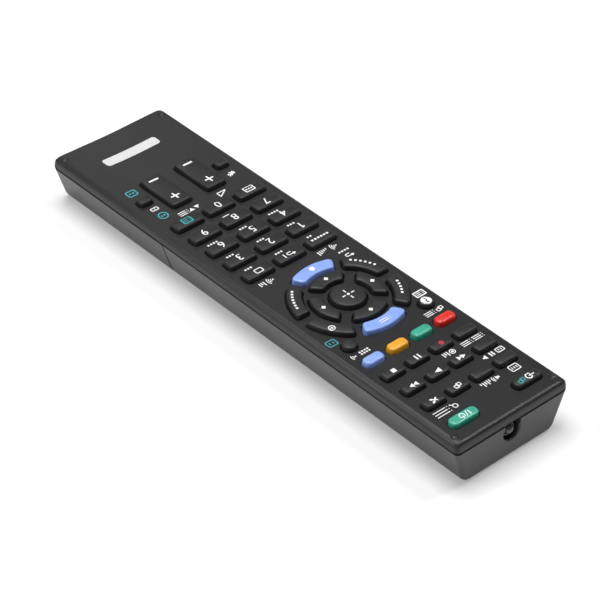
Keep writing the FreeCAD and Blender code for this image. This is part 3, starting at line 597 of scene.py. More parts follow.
def flat_disc(radius: float, steps: int) -> Mesh:
    """One flat round face about the origin.

    Args:
        radius: Its radius.
        steps: The sides that stand for the circle.

    Returns:
        The mesh that holds it.
    """
    sheet = bmesh.new()
    bmesh.ops.create_circle(sheet, cap_ends=True, cap_tris=False, segments=steps, radius=radius)
    return sheet


def extruded(sheet: Mesh, low: float, high: float) -> Mesh:
    """Turn a flat sheet into a closed slab between two heights.

    Args:
        sheet: The flat sheet.
        low: The slab's underside.
        high: The slab's top.

    Returns:
        The same mesh.
    """
    moved(sheet, z=low)
    made = bmesh.ops.extrude_face_region(sheet, geom=sheet.faces[:])["geom"]
    raised = [part for part in made if isinstance(part, bmesh.types.BMVert)]
    bmesh.ops.translate(sheet, vec=(0, 0, high - low), verts=raised)
    bmesh.ops.recalc_face_normals(sheet, faces=sheet.faces[:])
    return sheet


def sliced(mesh: Mesh, way: Vector, low: float, high: float, count: int) -> Mesh:
    """Cut a mesh across at equal steps along a direction, so that it can bend.

    Args:
        mesh: The mesh.
        way: The direction.
        low: Where the steps start along it.
        high: Where they end.
        count: The number of steps.

    Returns:
        The same mesh.
    """
    for index in range(1, count):
        bmesh.ops.bisect_plane(mesh, geom=mesh.verts[:] + mesh.edges[:] + mesh.faces[:], dist=WELD,
                               plane_co=way * (low + (high - low) * index / count), plane_no=way)
    return mesh


def extent(mesh: Mesh) -> tuple[Vector, Vector]:
    """A mesh's lowest and highest corners."""
    ways = list(zip(*(vert.co for vert in mesh.verts)))
    return Vector([min(way) for way in ways]), Vector([max(way) for way in ways])


def top_face(solid: Mesh) -> bmesh.types.BMFace:
    """The largest of the highest faces that look up.

    Args:
        solid: The mesh.

    Returns:
        The face.
    """
    high = extent(solid)[1].z - WELD
    flat = [face for face in solid.faces if face.normal.z > 0.99 and face.calc_center_median().z > high]
    return max(flat, key=lambda face: face.calc_area())


def joined(parts: Iterable[Mesh]) -> Mesh:
    """Put several meshes into the first, and free the others.

    Args:
        parts: The meshes.

    Returns:
        The first mesh.
    """
    first, *others = parts
    for other in others:
        carrier = bpy.data.meshes.new("carrier")
        other.to_mesh(carrier)
        other.free()
        first.from_mesh(carrier)
        bpy.data.meshes.remove(carrier)
    return first


def moved(mesh: Mesh, x: float = 0.0, y: float = 0.0, z: float = 0.0, turn: float = 0.0) -> Mesh:
    """Turn a mesh about Z, and then move it.

    Args:
        mesh: The mesh.
        x: The move along X.
        y: The move along Y.
        z: The move along Z.
        turn: The turn, in degrees.

    Returns:
        The same mesh.
    """
    place = Matrix.Translation((x, y, z)) @ Matrix.Rotation(math.radians(turn), 4, "Z")
    bmesh.ops.transform(mesh, matrix=place, verts=mesh.verts[:])
    return mesh


def lathed(profile: list[Pair], way: float = 1.0, steps: int = 48) -> Mesh:
    """A closed turned solid about the Y axis.

    Args:
        profile: Pairs of radius and distance along Y, with the first and last on the axis.
        way: 1 where the distances count along +Y, and -1 where they count along -Y.
        steps: The steps of the turn.

    Returns:
        The mesh that holds it.
    """
    solid = bmesh.new()
    points = [solid.verts.new((radius, way * along, 0)) for radius, along in profile]
    lines = [solid.edges.new(pair) for pair in zip(points, points[1:])]
    bmesh.ops.spin(solid, geom=points + lines, cent=(0, 0, 0), axis=(0, 1, 0), steps=steps,
                   angle=math.tau, use_merge=True)
    bmesh.ops.remove_doubles(solid, verts=solid.verts[:], dist=WELD)
    bmesh.ops.recalc_face_normals(solid, faces=solid.faces[:])
    return solid


def mesh_of(curve: bpy.types.Curve, gap: float) -> Mesh:
    """The mesh of a curve or a text, with its doubles merged.

    Args:
        curve: The curve or text.
        gap: How near two doubles lie.

    Returns:
        The mesh.
    """
    carrier = linked(curve.name, curve)
    bpy.context.view_layer.update()
    data = bpy.data.meshes.new_from_object(carrier)
    bpy.data.objects.remove(carrier)
    mesh = bmesh.new()
    mesh.from_mesh(data)
    bpy.data.meshes.remove(data)
    bmesh.ops.remove_doubles(mesh, verts=mesh.verts[:], dist=gap)
    return mesh


def finished(solid: Mesh, name: str, body: str, finish: Finish, sharp: float = 38.0) -> bpy.types.Object:
    """Make a mesh a piece of the handset, in metres.

    Args:
        solid: The mesh, in millimetres.
        name: The piece's name.
        body: The body that it rides on.
        finish: What it is made of.
        sharp: The angle, in degrees, past which an edge stays sharp.

    Returns:
        The new object.
    """
    bmesh.ops.scale(solid, vec=(MM, MM, MM), verts=solid.verts[:])
    data = bpy.data.meshes.new(name)
    solid.to_mesh(data)
    solid.free()
    data.polygons.foreach_set("use_smooth", [True] * len(data.polygons))
    data.set_sharp_from_angle(angle=math.radians(sharp))
    piece = linked(name, data)
    finish.dress(piece)
    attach(piece, body)
    return piece


# Printed marks

@dataclass(frozen=True)
class Bar:
    """A straight stroke."""

    width: float
    depth: float
    x: float = 0.0
    y: float = 0.0
    turn: float = 0.0

    def draw(self) -> Mesh:
        """The stroke as a flat mesh."""
        return moved(flat_bar(self.width, self.depth), self.x, self.y, turn=self.turn)


@dataclass(frozen=True)
class Dot:
    """A filled disc."""

    radius: float
    x: float = 0.0
    y: float = 0.0

    def draw(self) -> Mesh:
        """The disc as a flat mesh."""
        return moved(flat_disc(self.radius, 28), self.x, self.y)


@dataclass(frozen=True)
class Hoop:
    """A ring or a part of one, counted in degrees from +X."""

    radius: float
    line: float
    x: float = 0.0
    y: float = 0.0
    start: float = 0.0
    sweep: float = 360.0

    def draw(self) -> Mesh:
        """The ring as a flat mesh, spun from a line across it.

        Returns:
            The ring.
        """
        sheet = bmesh.new()
        ends = [sheet.verts.new((self.radius + side * self.line / 2, 0, 0)) for side in (-1, 1)]
        bmesh.ops.spin(sheet, geom=[*ends, sheet.edges.new(ends)], cent=(0, 0, 0), axis=(0, 0, 1),
                       steps=24, angle=math.radians(self.sweep), use_merge=self.sweep == 360)
        return moved(sheet, self.x, self.y, turn=self.start)


@dataclass(frozen=True)
class Pane:
    """The outline of a rounded rectangle."""

    width: float
    depth: float
    line: float
    x: float = 0.0
    y: float = 0.0
    corner: float = 0.5

    def draw(self) -> Mesh:
        """The outline as a flat mesh.

        Returns:
            The outline.
        """
        sheet = flat_bar(self.width, self.depth, self.corner, 4)
        middle = sheet.faces[:]
        bmesh.ops.inset_region(sheet, faces=middle, thickness=self.line, use_even_offset=True,
                               use_boundary=True)
        bmesh.ops.delete(sheet, geom=middle, context="FACES")
        return moved(sheet, self.x, self.y)


@dataclass(frozen=True)
class Wedge:
    """A filled triangle that points along +X before it is turned."""

    length: float
    width: float
    x: float = 0.0
    y: float = 0.0
    turn: float = 0.0

    def draw(self) -> Mesh:
        """The triangle as a flat mesh.

        Returns:
            The triangle.
        """
        sheet = flat_disc(1.0, 3)
        low, high = extent(sheet)
        moved(sheet, y=-(low.y + high.y) / 2)
        bmesh.ops.scale(sheet, verts=sheet.verts[:],
                        vec=(self.width / (high.x - low.x), self.length / (high.y - low.y), 1))
        return moved(sheet, self.x, self.y, turn=self.turn - 90)


@dataclass(frozen=True)
class Numeral:
    """One plain numeral or sign."""

    text: str
    height: float = 3.35
    x: float = 0.0
    y: float = 0.0
    weight: float = 0.004

    def draw(self) -> Mesh:
        """The numeral as a flat mesh about its own middle.

        Returns:
            The numeral.
        """
        letter = bpy.data.curves.new("numeral", "FONT")
        letter.body = self.text
        letter.offset = self.weight
        letter.resolution_u = 5
        sheet = mesh_of(letter, 1e-5)
        low, high = extent(sheet)
        size = self.height / (high.y - low.y)
        moved(sheet, *(-(low + high) / 2))
        bmesh.ops.scale(sheet, vec=(size, size, 1), verts=sheet.verts[:])
        return moved(sheet, self.x, self.y)


Shape = Bar | Dot | Hoop | Pane | Wedge | Numeral


class Picture(tuple[Shape, ...]):
    """Shapes that are printed together."""

    def at(self, x: float, y: float = 0.0) -> "Picture":
        """The same shapes at another place."""
        return Picture(replace(shape, x=shape.x + x, y=shape.y + y) for shape in self)

    def __add__(self, other: "Picture") -> "Picture":
        """Both pictures in one."""
        return Picture((*self, *other))


def sign(*shapes: Shape) -> Picture:
    """A picture of these shapes."""
    return Picture(shapes)


class Signs:
    """The plain pictures that the marks are made of, each about its own middle."""

    ONE = sign(Bar(0.48, 3.35, 0.25), Bar(1.15, 0.42, -0.2, 1.27, 40))
    POWER = sign(Bar(0.42, 2.1, -2.3), Bar(0.36, 2.7, -1.05, 0, -22),
                 Hoop(0.95, 0.36, 0.75, -0.15, 120, 300), Bar(0.38, 1.2, 0.75, 0.65))
    INTO_RING = sign(Hoop(1.15, 0.45, 0.45, 0, -140, 280), Bar(1.6, 0.42, -1.05), Wedge(0.95, 1.3, 0.05))
    LOUDSPEAKER = sign(Bar(0.6, 0.9, -1.15), Wedge(1.25, 1.9, -0.65, 0, 180),
                       Hoop(1.0, 0.32, -0.2, 0, -45, 90), Hoop(1.65, 0.32, -0.2, 0, -45, 90))
    MUTE = sign(Bar(0.8, 1.2, -1.0), Wedge(1.5, 2.6, -0.3, 0, 180), Bar(0.4, 3.4, 0.2, 0.1, -48),
                Bar(0.34, 1.1, 1.2, 0, 40), Bar(0.34, 1.1, 1.2, 0, -40))
    LENS = sign(Hoop(0.85, 0.34, -0.35, 0.3), Bar(1.2, 0.4, 0.75, -0.75, -45))
    CROSSED = sign(Bar(2.7, 0.5, 0, 0.05, 38), Bar(2.7, 0.5, 0, -0.05, -38),
                   Wedge(0.9, 1.1, 1.15, 0.85, 38), Wedge(0.9, 1.1, 1.15, -0.85, -38))
    PLUS = sign(Bar(3.7, 0.65), Bar(0.65, 1.525, 0, 1.0875), Bar(0.65, 1.525, 0, -1.0875))
    MIDDLE = sign(Dot(0.55), Bar(0.45, 1.4, 0, 1.9), Bar(0.45, 1.4, 0, -1.9), Bar(1.4, 0.45, 1.9),
                  Bar(1.4, 0.45, -1.9))
    HOUSE = sign(Wedge(1.0, 2.5, 0, 0.6, 90), Bar(1.7, 1.2, 0, -0.45))
    BACK = sign(Wedge(1.1, 1.5, -1.3, 0.45, 180), Bar(1.7, 0.38, -0.1, 0.45),
                Hoop(0.65, 0.38, 0.75, -0.2, -90, 180), Bar(1.3, 0.38, 0.1, -0.85))
    SCREENS = sign(Pane(1.8, 1.6, 0.34, -0.55, -0.2, 0.3), Pane(1.8, 1.6, 0.34, 0.65, 0.3, 0.3))
    TARGET = sign(Hoop(1.1, 0.36), Bar(1.4, 0.3), Bar(0.3, 0.5, 0, 0.4), Bar(0.3, 0.5, 0, -0.4))
    LOUDNESS = sign(Bar(3.9, 0.42, 0, -1.1), Bar(0.42, 2.4, 1.75), Bar(4.4, 0.42, -0.05, 0.1, 31))

    @staticmethod
    def skip(turn: float) -> Picture:
        """Two triangles, one behind the other."""
        return sign(*(Wedge(1.75, 2.0, x, 0, turn) for x in (-0.85, 0.85)))

    @staticmethod
    def frame(width: float, depth: float, marks: int) -> Picture:
        """A rounded screen with a few strokes in it.

        Args:
            width: The screen's width.
            depth: Its height.
            marks: How many strokes stand in it.

        Returns:
            The picture.
        """
        pitch = (width - 1.2) / max(marks, 1)
        strokes = (Bar(0.34, depth * 0.36, (index - (marks - 1) / 2) * pitch) for index in range(marks))
        return sign(Pane(width, depth, 0.38, corner=0.6), *strokes)

    @staticmethod
    def lines(width: float, count: int, pitch: float) -> Picture:
        """A list: a dot and a line in each row.

        Args:
            width: The rows' width.
            count: How many rows there are.
            pitch: From one row to the next.

        Returns:
            The picture.
        """
        line = 0.34
        rows = ((index - (count - 1) / 2) * pitch for index in range(count))
        return sign(*(shape for row in rows for shape in (Bar(width - 0.9, line, 0.45, row),
                                                          Bar(line, line, 0.2 - width / 2, row))))

    @staticmethod
    def waves(count: int) -> Picture:
        """Arcs that spread from a dot."""
        return sign(Dot(0.34, -1.1), *(Hoop(0.85 + 0.72 * index, 0.32, -1.1, 0, -42, 84)
                                       for index in range(count)))

    @staticmethod
    def levels(*heights: float) -> Picture:
        """Upright strokes of these heights, on one line."""
        first = -0.45 * (len(heights) - 1)
        return sign(*(Bar(0.42, high, first + 0.9 * index, high / 2 - 1.1)
                      for index, high in enumerate(heights)))

    @staticmethod
    def curved(count: int, radius: float, middle: float, pitch: float) -> Picture:
        """Small squares that follow an arc.

        Args:
            count: How many there are.
            radius: The arc's radius.
            middle: Where their middle lies on the arc, in degrees from +X.
            pitch: From one square to the next.

        Returns:
            The squares, about the arc's centre.
        """
        step = math.degrees(pitch / radius)
        turns = (middle + (index - (count - 1) / 2) * step for index in range(count))
        return sign(*(Bar(0.85, 0.85, radius * math.cos(math.radians(turn)),
                          radius * math.sin(math.radians(turn)), turn) for turn in turns))

    @staticmethod
    def grid(columns: int, rows: int, pitch: float) -> Picture:
        """Small squares in columns and rows, at a pitch."""
        side = pitch * 0.62
        return sign(*(Bar(side, side, (column - (columns - 1) / 2) * pitch, (row - (rows - 1) / 2) * pitch)
                      for column in range(columns) for row in range(rows)))


@dataclass(frozen=True)
class Mark:
    """A printed picture at its place on the handset, in millimetres."""

    x: float
    y: float
    picture: Iterable[Shape]
    ink: Ink = Ink.WHITE
    turn: float = 0.0

    def sheets(self) -> list[Mesh]:
        """The picture's flat meshes at its place."""
        return [moved(shape.draw(), self.x, self.y, turn=self.turn) for shape in self.picture]


@dataclass
class Printer:
    """Prints marks onto a surface, as thin layers of ink that follow it."""

    lift: float = 0.022
    sunk: float = 0.06
    layer: float = 0.002
    stack: int = 5
    inks_apart: int = 12
    pitch: float = 0.42
    start: float = 40.0

    def print(self, name: str, body: str, surface: BVHTree, marks: Iterable[Mark]) -> None:
        """Print a body's marks, one piece for each ink.

        Args:
            name: The start of the pieces' names.
            body: The body that they ride on.
            surface: What they are printed on, in millimetres.
            marks: The marks.
        """
        by_ink: dict[Ink, list[Mesh]] = {}
        for each in marks:
            by_ink.setdefault(each.ink, []).extend(each.sheets())
        for rank, (ink, sheets) in enumerate(by_ink.items()):
            low = self.lift + rank * self.inks_apart * self.layer
            layers = [self.laid(sheet, surface, low + index % self.stack * self.layer)
                      for index, sheet in enumerate(sheets)]
            finished(joined(layers), f"{name}_{ink.name.lower()}_print", body, ink.value, 30.0)

    def laid(self, sheet: Mesh, surface: BVHTree, lift: float) -> Mesh:
        """Lay a flat sheet on the surface and give it thickness.

        Args:
            sheet: The flat sheet.
            surface: What it is laid on.
            lift: How high its top stands.

        Returns:
            The same mesh.
        """
        for axis, way in enumerate((Vector((1, 0, 0)), Vector((0, 1, 0)))):
            low, high = (corner[axis] for corner in extent(sheet))
            sliced(sheet, way, low, high, math.ceil((high - low) / self.pitch))
        extruded(sheet, 0.0, lift + self.sunk)
        for vert in sheet.verts:
            hit = surface.ray_cast(Vector((vert.co.x, vert.co.y, self.start)), Vector((0, 0, -1)))[0]
            vert.co.z += (hit.z if hit else 0.0) - self.sunk
        return sheet


# Keys

@dataclass
class Cap:
    """A rubber key: its cap, the rim that holds it under the case, and its stems."""

    node: str
    colour: KeyColour = KeyColour.BLACK
    marks: Iterable[Mark] = ()
    x: float = 0.0
    y: float = 0.0
    rim: float = 0.6
    shoulder: float = 18.5
    lean: float = 0.35
    edge: float = 0.50
    top: float = 20.57
    crown: float = 0.10
    seat: float = 16.9
    rim_low: float = 16.3
    stem_low: float = 15.55
    stem: float = 3.0
    stem_corner: float = 0.25
    crown_steps: tuple[Pair, Pair] = ((0.08, 0.55), (0.14, 0.45))

    def outline(self, grow: float) -> Mesh:
        """The key's flat outline, grown by a margin, at its place."""
        raise NotImplementedError

    def stems(self) -> list[Pair]:
        """Where the stems stand."""
        return [(self.x, self.y)]

    def cap(self) -> Mesh:
        """The cap, with its leaning walls, rounded edge and crowned top.

        Returns:
            The cap.
        """
        solid = extruded(self.outline(0.0), self.seat, self.shoulder)
        bmesh.ops.inset_region(solid, faces=[top_face(solid)], thickness=self.lean,
                               depth=self.top - self.crown - self.shoulder, use_even_offset=False,
                               use_boundary=True)
        rim = list(top_face(solid).edges)
        bmesh.ops.bevel(solid, geom=rim, offset=self.edge, offset_type="OFFSET", segments=5,
                        profile=0.5, affect="EDGES", clamp_overlap=False, material=-1)
        for inward, upward in self.crown_steps:
            bmesh.ops.inset_region(solid, faces=[top_face(solid)], thickness=inward,
                                   depth=upward * self.crown, use_even_offset=True, use_boundary=True)
        return solid

    def shaped(self, solid: Mesh) -> Mesh:
        """Bend a solid of the key to its last shape, where it has one."""
        return solid

    def build(self, printer: Printer) -> None:
        """Make the key and print its marks.

        Args:
            printer: What prints the marks.
        """
        cap = self.shaped(self.cap())
        surface = BVHTree.FromBMesh(cap)
        parts = [cap, self.shaped(extruded(self.outline(self.rim), self.rim_low, self.seat))]
        for x, y in self.stems():
            post = moved(flat_bar(self.stem, self.stem, self.stem_corner, 3), x, y)
            parts.append(extruded(post, self.stem_low, self.rim_low))
        piece = finished(joined(parts), self.node + "_cap", self.node, self.colour.value)
        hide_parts(self.node)
        self.colour.slot
        if self.marks:
            printer.print(self.node, self.node, surface, self.marks)


@dataclass
class BarCap(Cap):
    """A key with straight sides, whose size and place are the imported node's."""

    corner: float = 1.1

    def __post_init__(self) -> None:
        """Take the size from the node, whose rim is wider than its cap."""
        low, high = (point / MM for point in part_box(self.node))
        self.x, self.y = (low.x + high.x) / 2, (low.y + high.y) / 2
        self.width, self.depth = (high[axis] - low[axis] - 2 * self.rim for axis in (0, 1))

    def outline(self, grow: float) -> Mesh:
        """A rounded rectangle."""
        sheet = flat_bar(self.width + 2 * grow, self.depth + 2 * grow, self.corner + grow)
        return moved(sheet, self.x, self.y)


@dataclass
class RoundCap(BarCap):
    """A round key."""

    def outline(self, grow: float) -> Mesh:
        """A disc."""
        return moved(flat_disc(self.width / 2 + grow, 48), self.x, self.y)


@dataclass
class RockerCap(BarCap):
    """A long key that tips, with a shallow hollow across its middle."""

    rim: float = 0.0
    dish: float = 0.35
    reach: float = 8.6
    slices: int = 14
    sliced_share: float = 0.9

    def stems(self) -> list[Pair]:
        """One stem under each end."""
        return [(self.x, self.y + side * (self.depth / 2 - self.stem)) for side in (-1, 1)]

    def cap(self) -> Mesh:
        """The cap, sliced across and lowered along the hollow.

        Returns:
            The cap.
        """
        half = self.sliced_share * self.depth / 2
        solid = sliced(super().cap(), Vector((0, 1, 0)), self.y - half, self.y + half, self.slices)
        for vert in solid.verts:
            share = 1 - ((vert.co.y - self.y) / self.reach) ** 2
            high = (vert.co.z - self.seat) / (self.top - self.seat)
            vert.co.z -= max(0.0, share) * self.dish * high ** 3
        return solid


@dataclass
class SectorCap(Cap):
    """A piece of the ring round the middle key, with its ends parallel to the webs beside it.

    angles are the webs' middle lines, in degrees from +X, and each gap is half a web.
    """

    y: float = 26.0
    radii: Pair = (8.3, 13.7)
    angles: Pair = (45.0, 135.0)
    gaps: Pair = (2.0, 2.0)
    corner: float = 1.15
    slices: int = 20

    def stems(self) -> list[Pair]:
        """One stem under the middle of the band."""
        turn = math.radians(sum(self.angles) / 2)
        return [(self.x + self.middle * math.cos(turn), self.y + self.middle * math.sin(turn))]

    def ends(self, radius: float) -> Pair:
        """Where the band starts and ends at a radius, in radians."""
        start, end = (math.radians(angle) for angle in self.angles)
        return start + math.asin(self.gaps[0] / radius), end - math.asin(self.gaps[1] / radius)

    @property
    def middle(self) -> float:
        """The radius halfway across the band."""
        return sum(self.radii) / 2

    @property
    def length(self) -> float:
        """The band's length along its middle."""
        first, last = self.ends(self.middle)
        return self.middle * (last - first)

    def outline(self, grow: float) -> Mesh:
        """A straight rounded bar, about the origin."""
        band = self.radii[1] - self.radii[0]
        return flat_bar(self.length + 2 * grow, band + 2 * grow, self.corner + grow)

    def shaped(self, solid: Mesh) -> Mesh:
        """Slice the straight solid across and bend it round the middle key.

        Args:
            solid: The straight solid.

        Returns:
            The same mesh.
        """
        half = self.length / 2
        sliced(solid, Vector((1, 0, 0)), -half, half, self.slices)
        for vert in solid.verts:
            radius = self.middle + vert.co.y
            first, last = self.ends(radius)
            angle = last - (last - first) * (vert.co.x / self.length + 0.5)
            vert.co = Vector((radius * math.cos(angle), radius * math.sin(angle), vert.co.z))
        return moved(solid, self.x, self.y)


class Keypad:
    """All fifty keys with their marks."""

    def numbers(self) -> list[Cap]:
        """The keys with numerals, and the wide keys above and beside them.

        Returns:
            The fifteen keys.
        """
        columns, rows = (-13.8, 0.25, 14.1), (-13.1, -22.4, -31.7)
        marks = {f"key_{index + 1}": Mark(columns[index % 3], rows[index // 3],
                                          [Numeral(str(index + 1))] if index else Signs.ONE)
                 for index in range(9)}
        marks |= {
            "key_0": Mark(0.1, -41.0, [Numeral("0")]),
            "key_digital": Mark(-14.1, -3.8, Signs.grid(6, 1, 1.35)),
            "key_exit": Mark(0.1, -3.3, Signs.BACK.at(-0.6) + sign(Bar(0.45, 2.1, 2.2))),
            "key_tv_radio": Mark(14.0, -3.2, Signs.frame(3.4, 2.4, 0)),
            "key_subtitle": Mark(-14.2, -41.1, sign(Pane(4.4, 3.0, 0.45)) + Signs.grid(3, 1, 1.1)),
            "key_text": Mark(14.1, -41.0, sign(Pane(4.2, 3.4, 0.5, corner=0.7))
                             + Signs.lines(2.9, 2, 0.95), Ink.TEAL),
        }
        return [BarCap(name, marks=[mark]) for name, mark in marks.items()]

    def rows(self) -> list[Cap]:
        """The keys between the infrared end and the ring.

        Returns:
            The twenty keys.
        """
        narrow = {
            "key_screen_format": (),
            "key_audio": (),
            "key_depth_view": [Mark(5.5, 83.6, Signs.SCREENS)],
            "key_search": [Mark(16.0, 83.9, Signs.CROSSED)],
            "key_pause_live": (),
            "key_rewind": [Mark(-5.4, 74.2, Signs.skip(180))],
            "key_play": [Mark(5.3, 74.3, [Wedge(2.5, 2.3)])],
            "key_fast_forward": [Mark(16.0, 74.3, Signs.skip(0))],
            "key_title_list": (),
            "key_record": [Mark(-5.5, 64.8, [Dot(1.0)], Ink.RED)],
            "key_pause": [Mark(5.3, 64.9, [Bar(0.55, 2.2, -0.7), Bar(0.55, 2.2, 0.7)])],
            "key_stop": [Mark(15.9, 64.9, [Bar(1.75, 1.75)])],
        }
        coloured = (KeyColour.RED, KeyColour.GREEN, KeyColour.YELLOW, KeyColour.BLUE)
        return [
            BarCap("key_input", corner=1.9, marks=[Mark(-15.4, 95.2, Signs.INTO_RING),
                                                   Mark(-11.6, 95.3, Signs.SCREENS, Ink.TEAL)]),
            BarCap("key_power", KeyColour.GREEN, corner=1.9, lean=0.25,
                   marks=[Mark(14.1, 95.2, Signs.POWER)]),
            *(BarCap(name, marks=marks) for name, marks in narrow.items()),
            *(BarCap(f"key_{colour.name.lower()}", colour, corner=1.9, lean=0.45, edge=0.55)
              for colour in coloured),
            RoundCap("key_help", top=20.52, marks=[
                Mark(-17.3, 45.5, [Dot(1.95)]),
                Mark(-17.3, 45.5, [Numeral("?", 2.7, weight=0.02)], Ink.DARK)]),
            RoundCap("key_settings"),
        ]

    def pad(self) -> list[Cap]:
        """The middle key, its four sectors, and the six sectors round them.

        Returns:
            The eleven keys.
        """
        keys: list[Cap] = [RoundCap("key_ok", lean=0.55, edge=0.4, marks=[Mark(0.0, 26.1, Signs.MIDDLE)])]
        inner = {"key_right": (11.0, 26.0), "key_up": (-0.1, 37.0), "key_left": (-11.0, 26.0),
                 "key_down": (0.1, 15.1)}
        for index, (name, (x, y)) in enumerate(inner.items()):
            keys.append(SectorCap(name, angles=(90 * index - 45, 90 * index + 45),
                                  marks=[Mark(x, y, [Bar(1.3, 1.3)], turn=45.0)]))
        webs = ((0, 1.7), (58.8, 1.3), (121.2, 1.3), (180, 1.7), (238.8, 1.3), (301.2, 1.3), (360, 1.7))
        outer = {
            "key_wide_view": Mark(16.2, 35.8, Signs.TARGET),
            "key_menu": Mark(0.0, 44.0, Signs.lines(4.6, 2, 0.95)),
            "key_guide": Mark(0.0, 26.0, Signs.curved(5, 18.1, 152, 1.6)),
            "key_return": Mark(0.0, 26.0, Signs.curved(6, 18.7, 212, 1.7)),
            "key_home": Mark(0.0, 8.1, Signs.HOUSE),
            "key_options": Mark(0.0, 26.0, Signs.curved(7, 18.7, -30.6, 1.5)),
        }
        for (name, mark), (start, start_gap), (end, end_gap) in zip(outer.items(), webs, webs[1:]):
            blue = name in ("key_menu", "key_home")
            keys.append(SectorCap(name, KeyColour.VIOLET_BLUE if blue else KeyColour.BLACK, [mark],
                                  radii=(15.2, 20.8), angles=(start, end), gaps=(start_gap, end_gap),
                                  corner=1.8 if blue else 1.15))
        return keys

    def rockers(self) -> list[Cap]:
        """The two rockers and the small keys beside them.

        Returns:
            The four keys.
        """
        keys: list[Cap] = [BarCap("key_mute"), BarCap("key_media")]
        for name, x in (("key_volume", -7.75), ("key_programme", 7.75)):
            keys.append(RockerCap(name, marks=[Mark(x, -55.1, Signs.PLUS),
                                               Mark(x, -67.1, [Bar(4.0, 0.8)])]))
        return keys

    def build(self) -> None:
        """Make every key."""
        printer = Printer()
        for key in self.numbers() + self.rows() + self.pad() + self.rockers():
            key.build(printer)
            log.info("key %s", key.node)


# The case

@dataclass
class Shell:
    """The two case halves and the battery cover, with what is printed on the case."""

    skin: Finish = MouldedShell("moulded_black_top")
    # Painted light: the tray is the same black plastic as the top, painted about twice as light so that its
    # sides and ends stand in for the light they take from the floor.
    tray: Finish = MouldedShell("moulded_black_tray_painted_light", (0.042, 0.042, 0.043), roughness=0.37, ior=1.49,
                                cover_joint=-41.6)
    plate_size: Pair = (24.0, 4.7)
    plate_corner: float = 1.3
    plate_place: Pair = (0.8, -88.5)
    plate_lift: float = 0.03

    def marks(self) -> list[Mark]:
        """The white and teal marks beside the keys."""
        frame_of, lines, levels, grid, waves = (Signs.frame, Signs.lines, Signs.levels, Signs.grid,
                                                Signs.waves)
        return [
            Mark(-16.0, 87.8, frame_of(4.0, 3.2, 3)),
            Mark(-5.4, 87.7, Signs.LOUDSPEAKER.at(-2.3) + levels(1.2, 2.1, 1.5, 2.2, 0.9).at(2.0)),
            Mark(15.3, 88.5, Signs.LENS.at(-3.4) + lines(6.2, 3, 1.2).at(1.6)),
            Mark(-15.7, 78.2, frame_of(3.4, 2.3, 2).at(-3.3)
                 + sign(Bar(0.6, 2.0, -0.2), Bar(0.6, 2.0, 0.9), Wedge(1.8, 2.1, 3.6))),
            Mark(-15.8, 68.9, lines(4.4, 3, 0.85).at(-2.5) + lines(4.4, 3, 0.85).at(2.6)),
            Mark(-5.2, 68.9, sign(Hoop(1.0, 0.34, -1.4), Dot(0.5, -1.4)) + levels(2.2, 1.5, 2.0).at(1.4)),
            Mark(-17.0, 50.0, Signs.SCREENS.at(-2.2) + lines(4.2, 3, 0.85).at(2.2)),
            Mark(16.9, 50.1, grid(4, 2, 1.1).at(-2.1) + waves(2).at(3.0)),
            Mark(20.2, 40.1, frame_of(4.0, 3.2, 2), Ink.TEAL),
            Mark(-19.6, 39.9, sign(Pane(4.5, 3.0, 0.5, corner=0.4)) + lines(2.9, 2, 0.8)),
            Mark(-16.5, 8.7, Signs.BACK),
            Mark(-16.5, 5.7, grid(4, 1, 1.25)),
            Mark(-13.1, 1.7, waves(3).at(-2.4) + levels(0.7, 1.1, 1.5, 1.9, 2.2).at(2.4)),
            Mark(14.5, 1.9, waves(3).at(-1.2) + levels(2.2, 1.4, 2.0).at(2.2)),
            Mark(-17.1, -54.0, Signs.MUTE),
            Mark(17.1, -50.3, sign(Hoop(1.75, 0.5)) + grid(2, 1, 1.2), Ink.TEAL),
            Mark(17.3, -67.6, sign(Pane(4.2, 3.6, 0.5, corner=0.9)) + grid(2, 1, 1.2), Ink.TEAL),
            Mark(17.0, -55.2, frame_of(3.2, 1.9, 1)),
            Mark(8.2, -46.7, sign(Wedge(1.7, 2.2, -3.4, 0, 90), Wedge(1.7, 2.2, -0.8, 0, -90))
                 + lines(4.2, 3, 0.9).at(2.6)),
            *(Mark(x, y, grid(count, 1, 1.2))
              for y, counts in ((-7.9, (2, 3, 3)), (-17.4, (3, 3, 3)), (-26.6, (4, 3, 4)))
              for x, count in zip((-12.9, 1.0, 14.7), counts)),
            Mark(0.9, -35.9, [Bar(2.8, 0.4)]),
            Mark(-7.1, -46.9, Signs.LOUDNESS),
        ]

    def build(self) -> None:
        """Dress the shell, print on it, and lay the bare plate in the thumb hollow."""
        self.skin.dress_node("upper_case")
        for node in ("lower_case", "battery_cover"):
            self.tray.dress_node(node)
        skin = bmesh.new()
        skin.from_mesh(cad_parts["upper_case"].data)
        bmesh.ops.scale(skin, vec=(1 / MM,) * 3, verts=skin.verts[:])
        surface = BVHTree.FromBMesh(skin)
        skin.free()
        printer = Printer()
        printer.print("case", "case", surface, self.marks())
        plate = moved(flat_bar(*self.plate_size, self.plate_corner, 8), *self.plate_place)
        plate = printer.laid(plate, surface, self.plate_lift)
        finished(plate, "bare_plate", "case", Ink.PLATE.value, 30.0)
        log.info("shell")


# What is inside

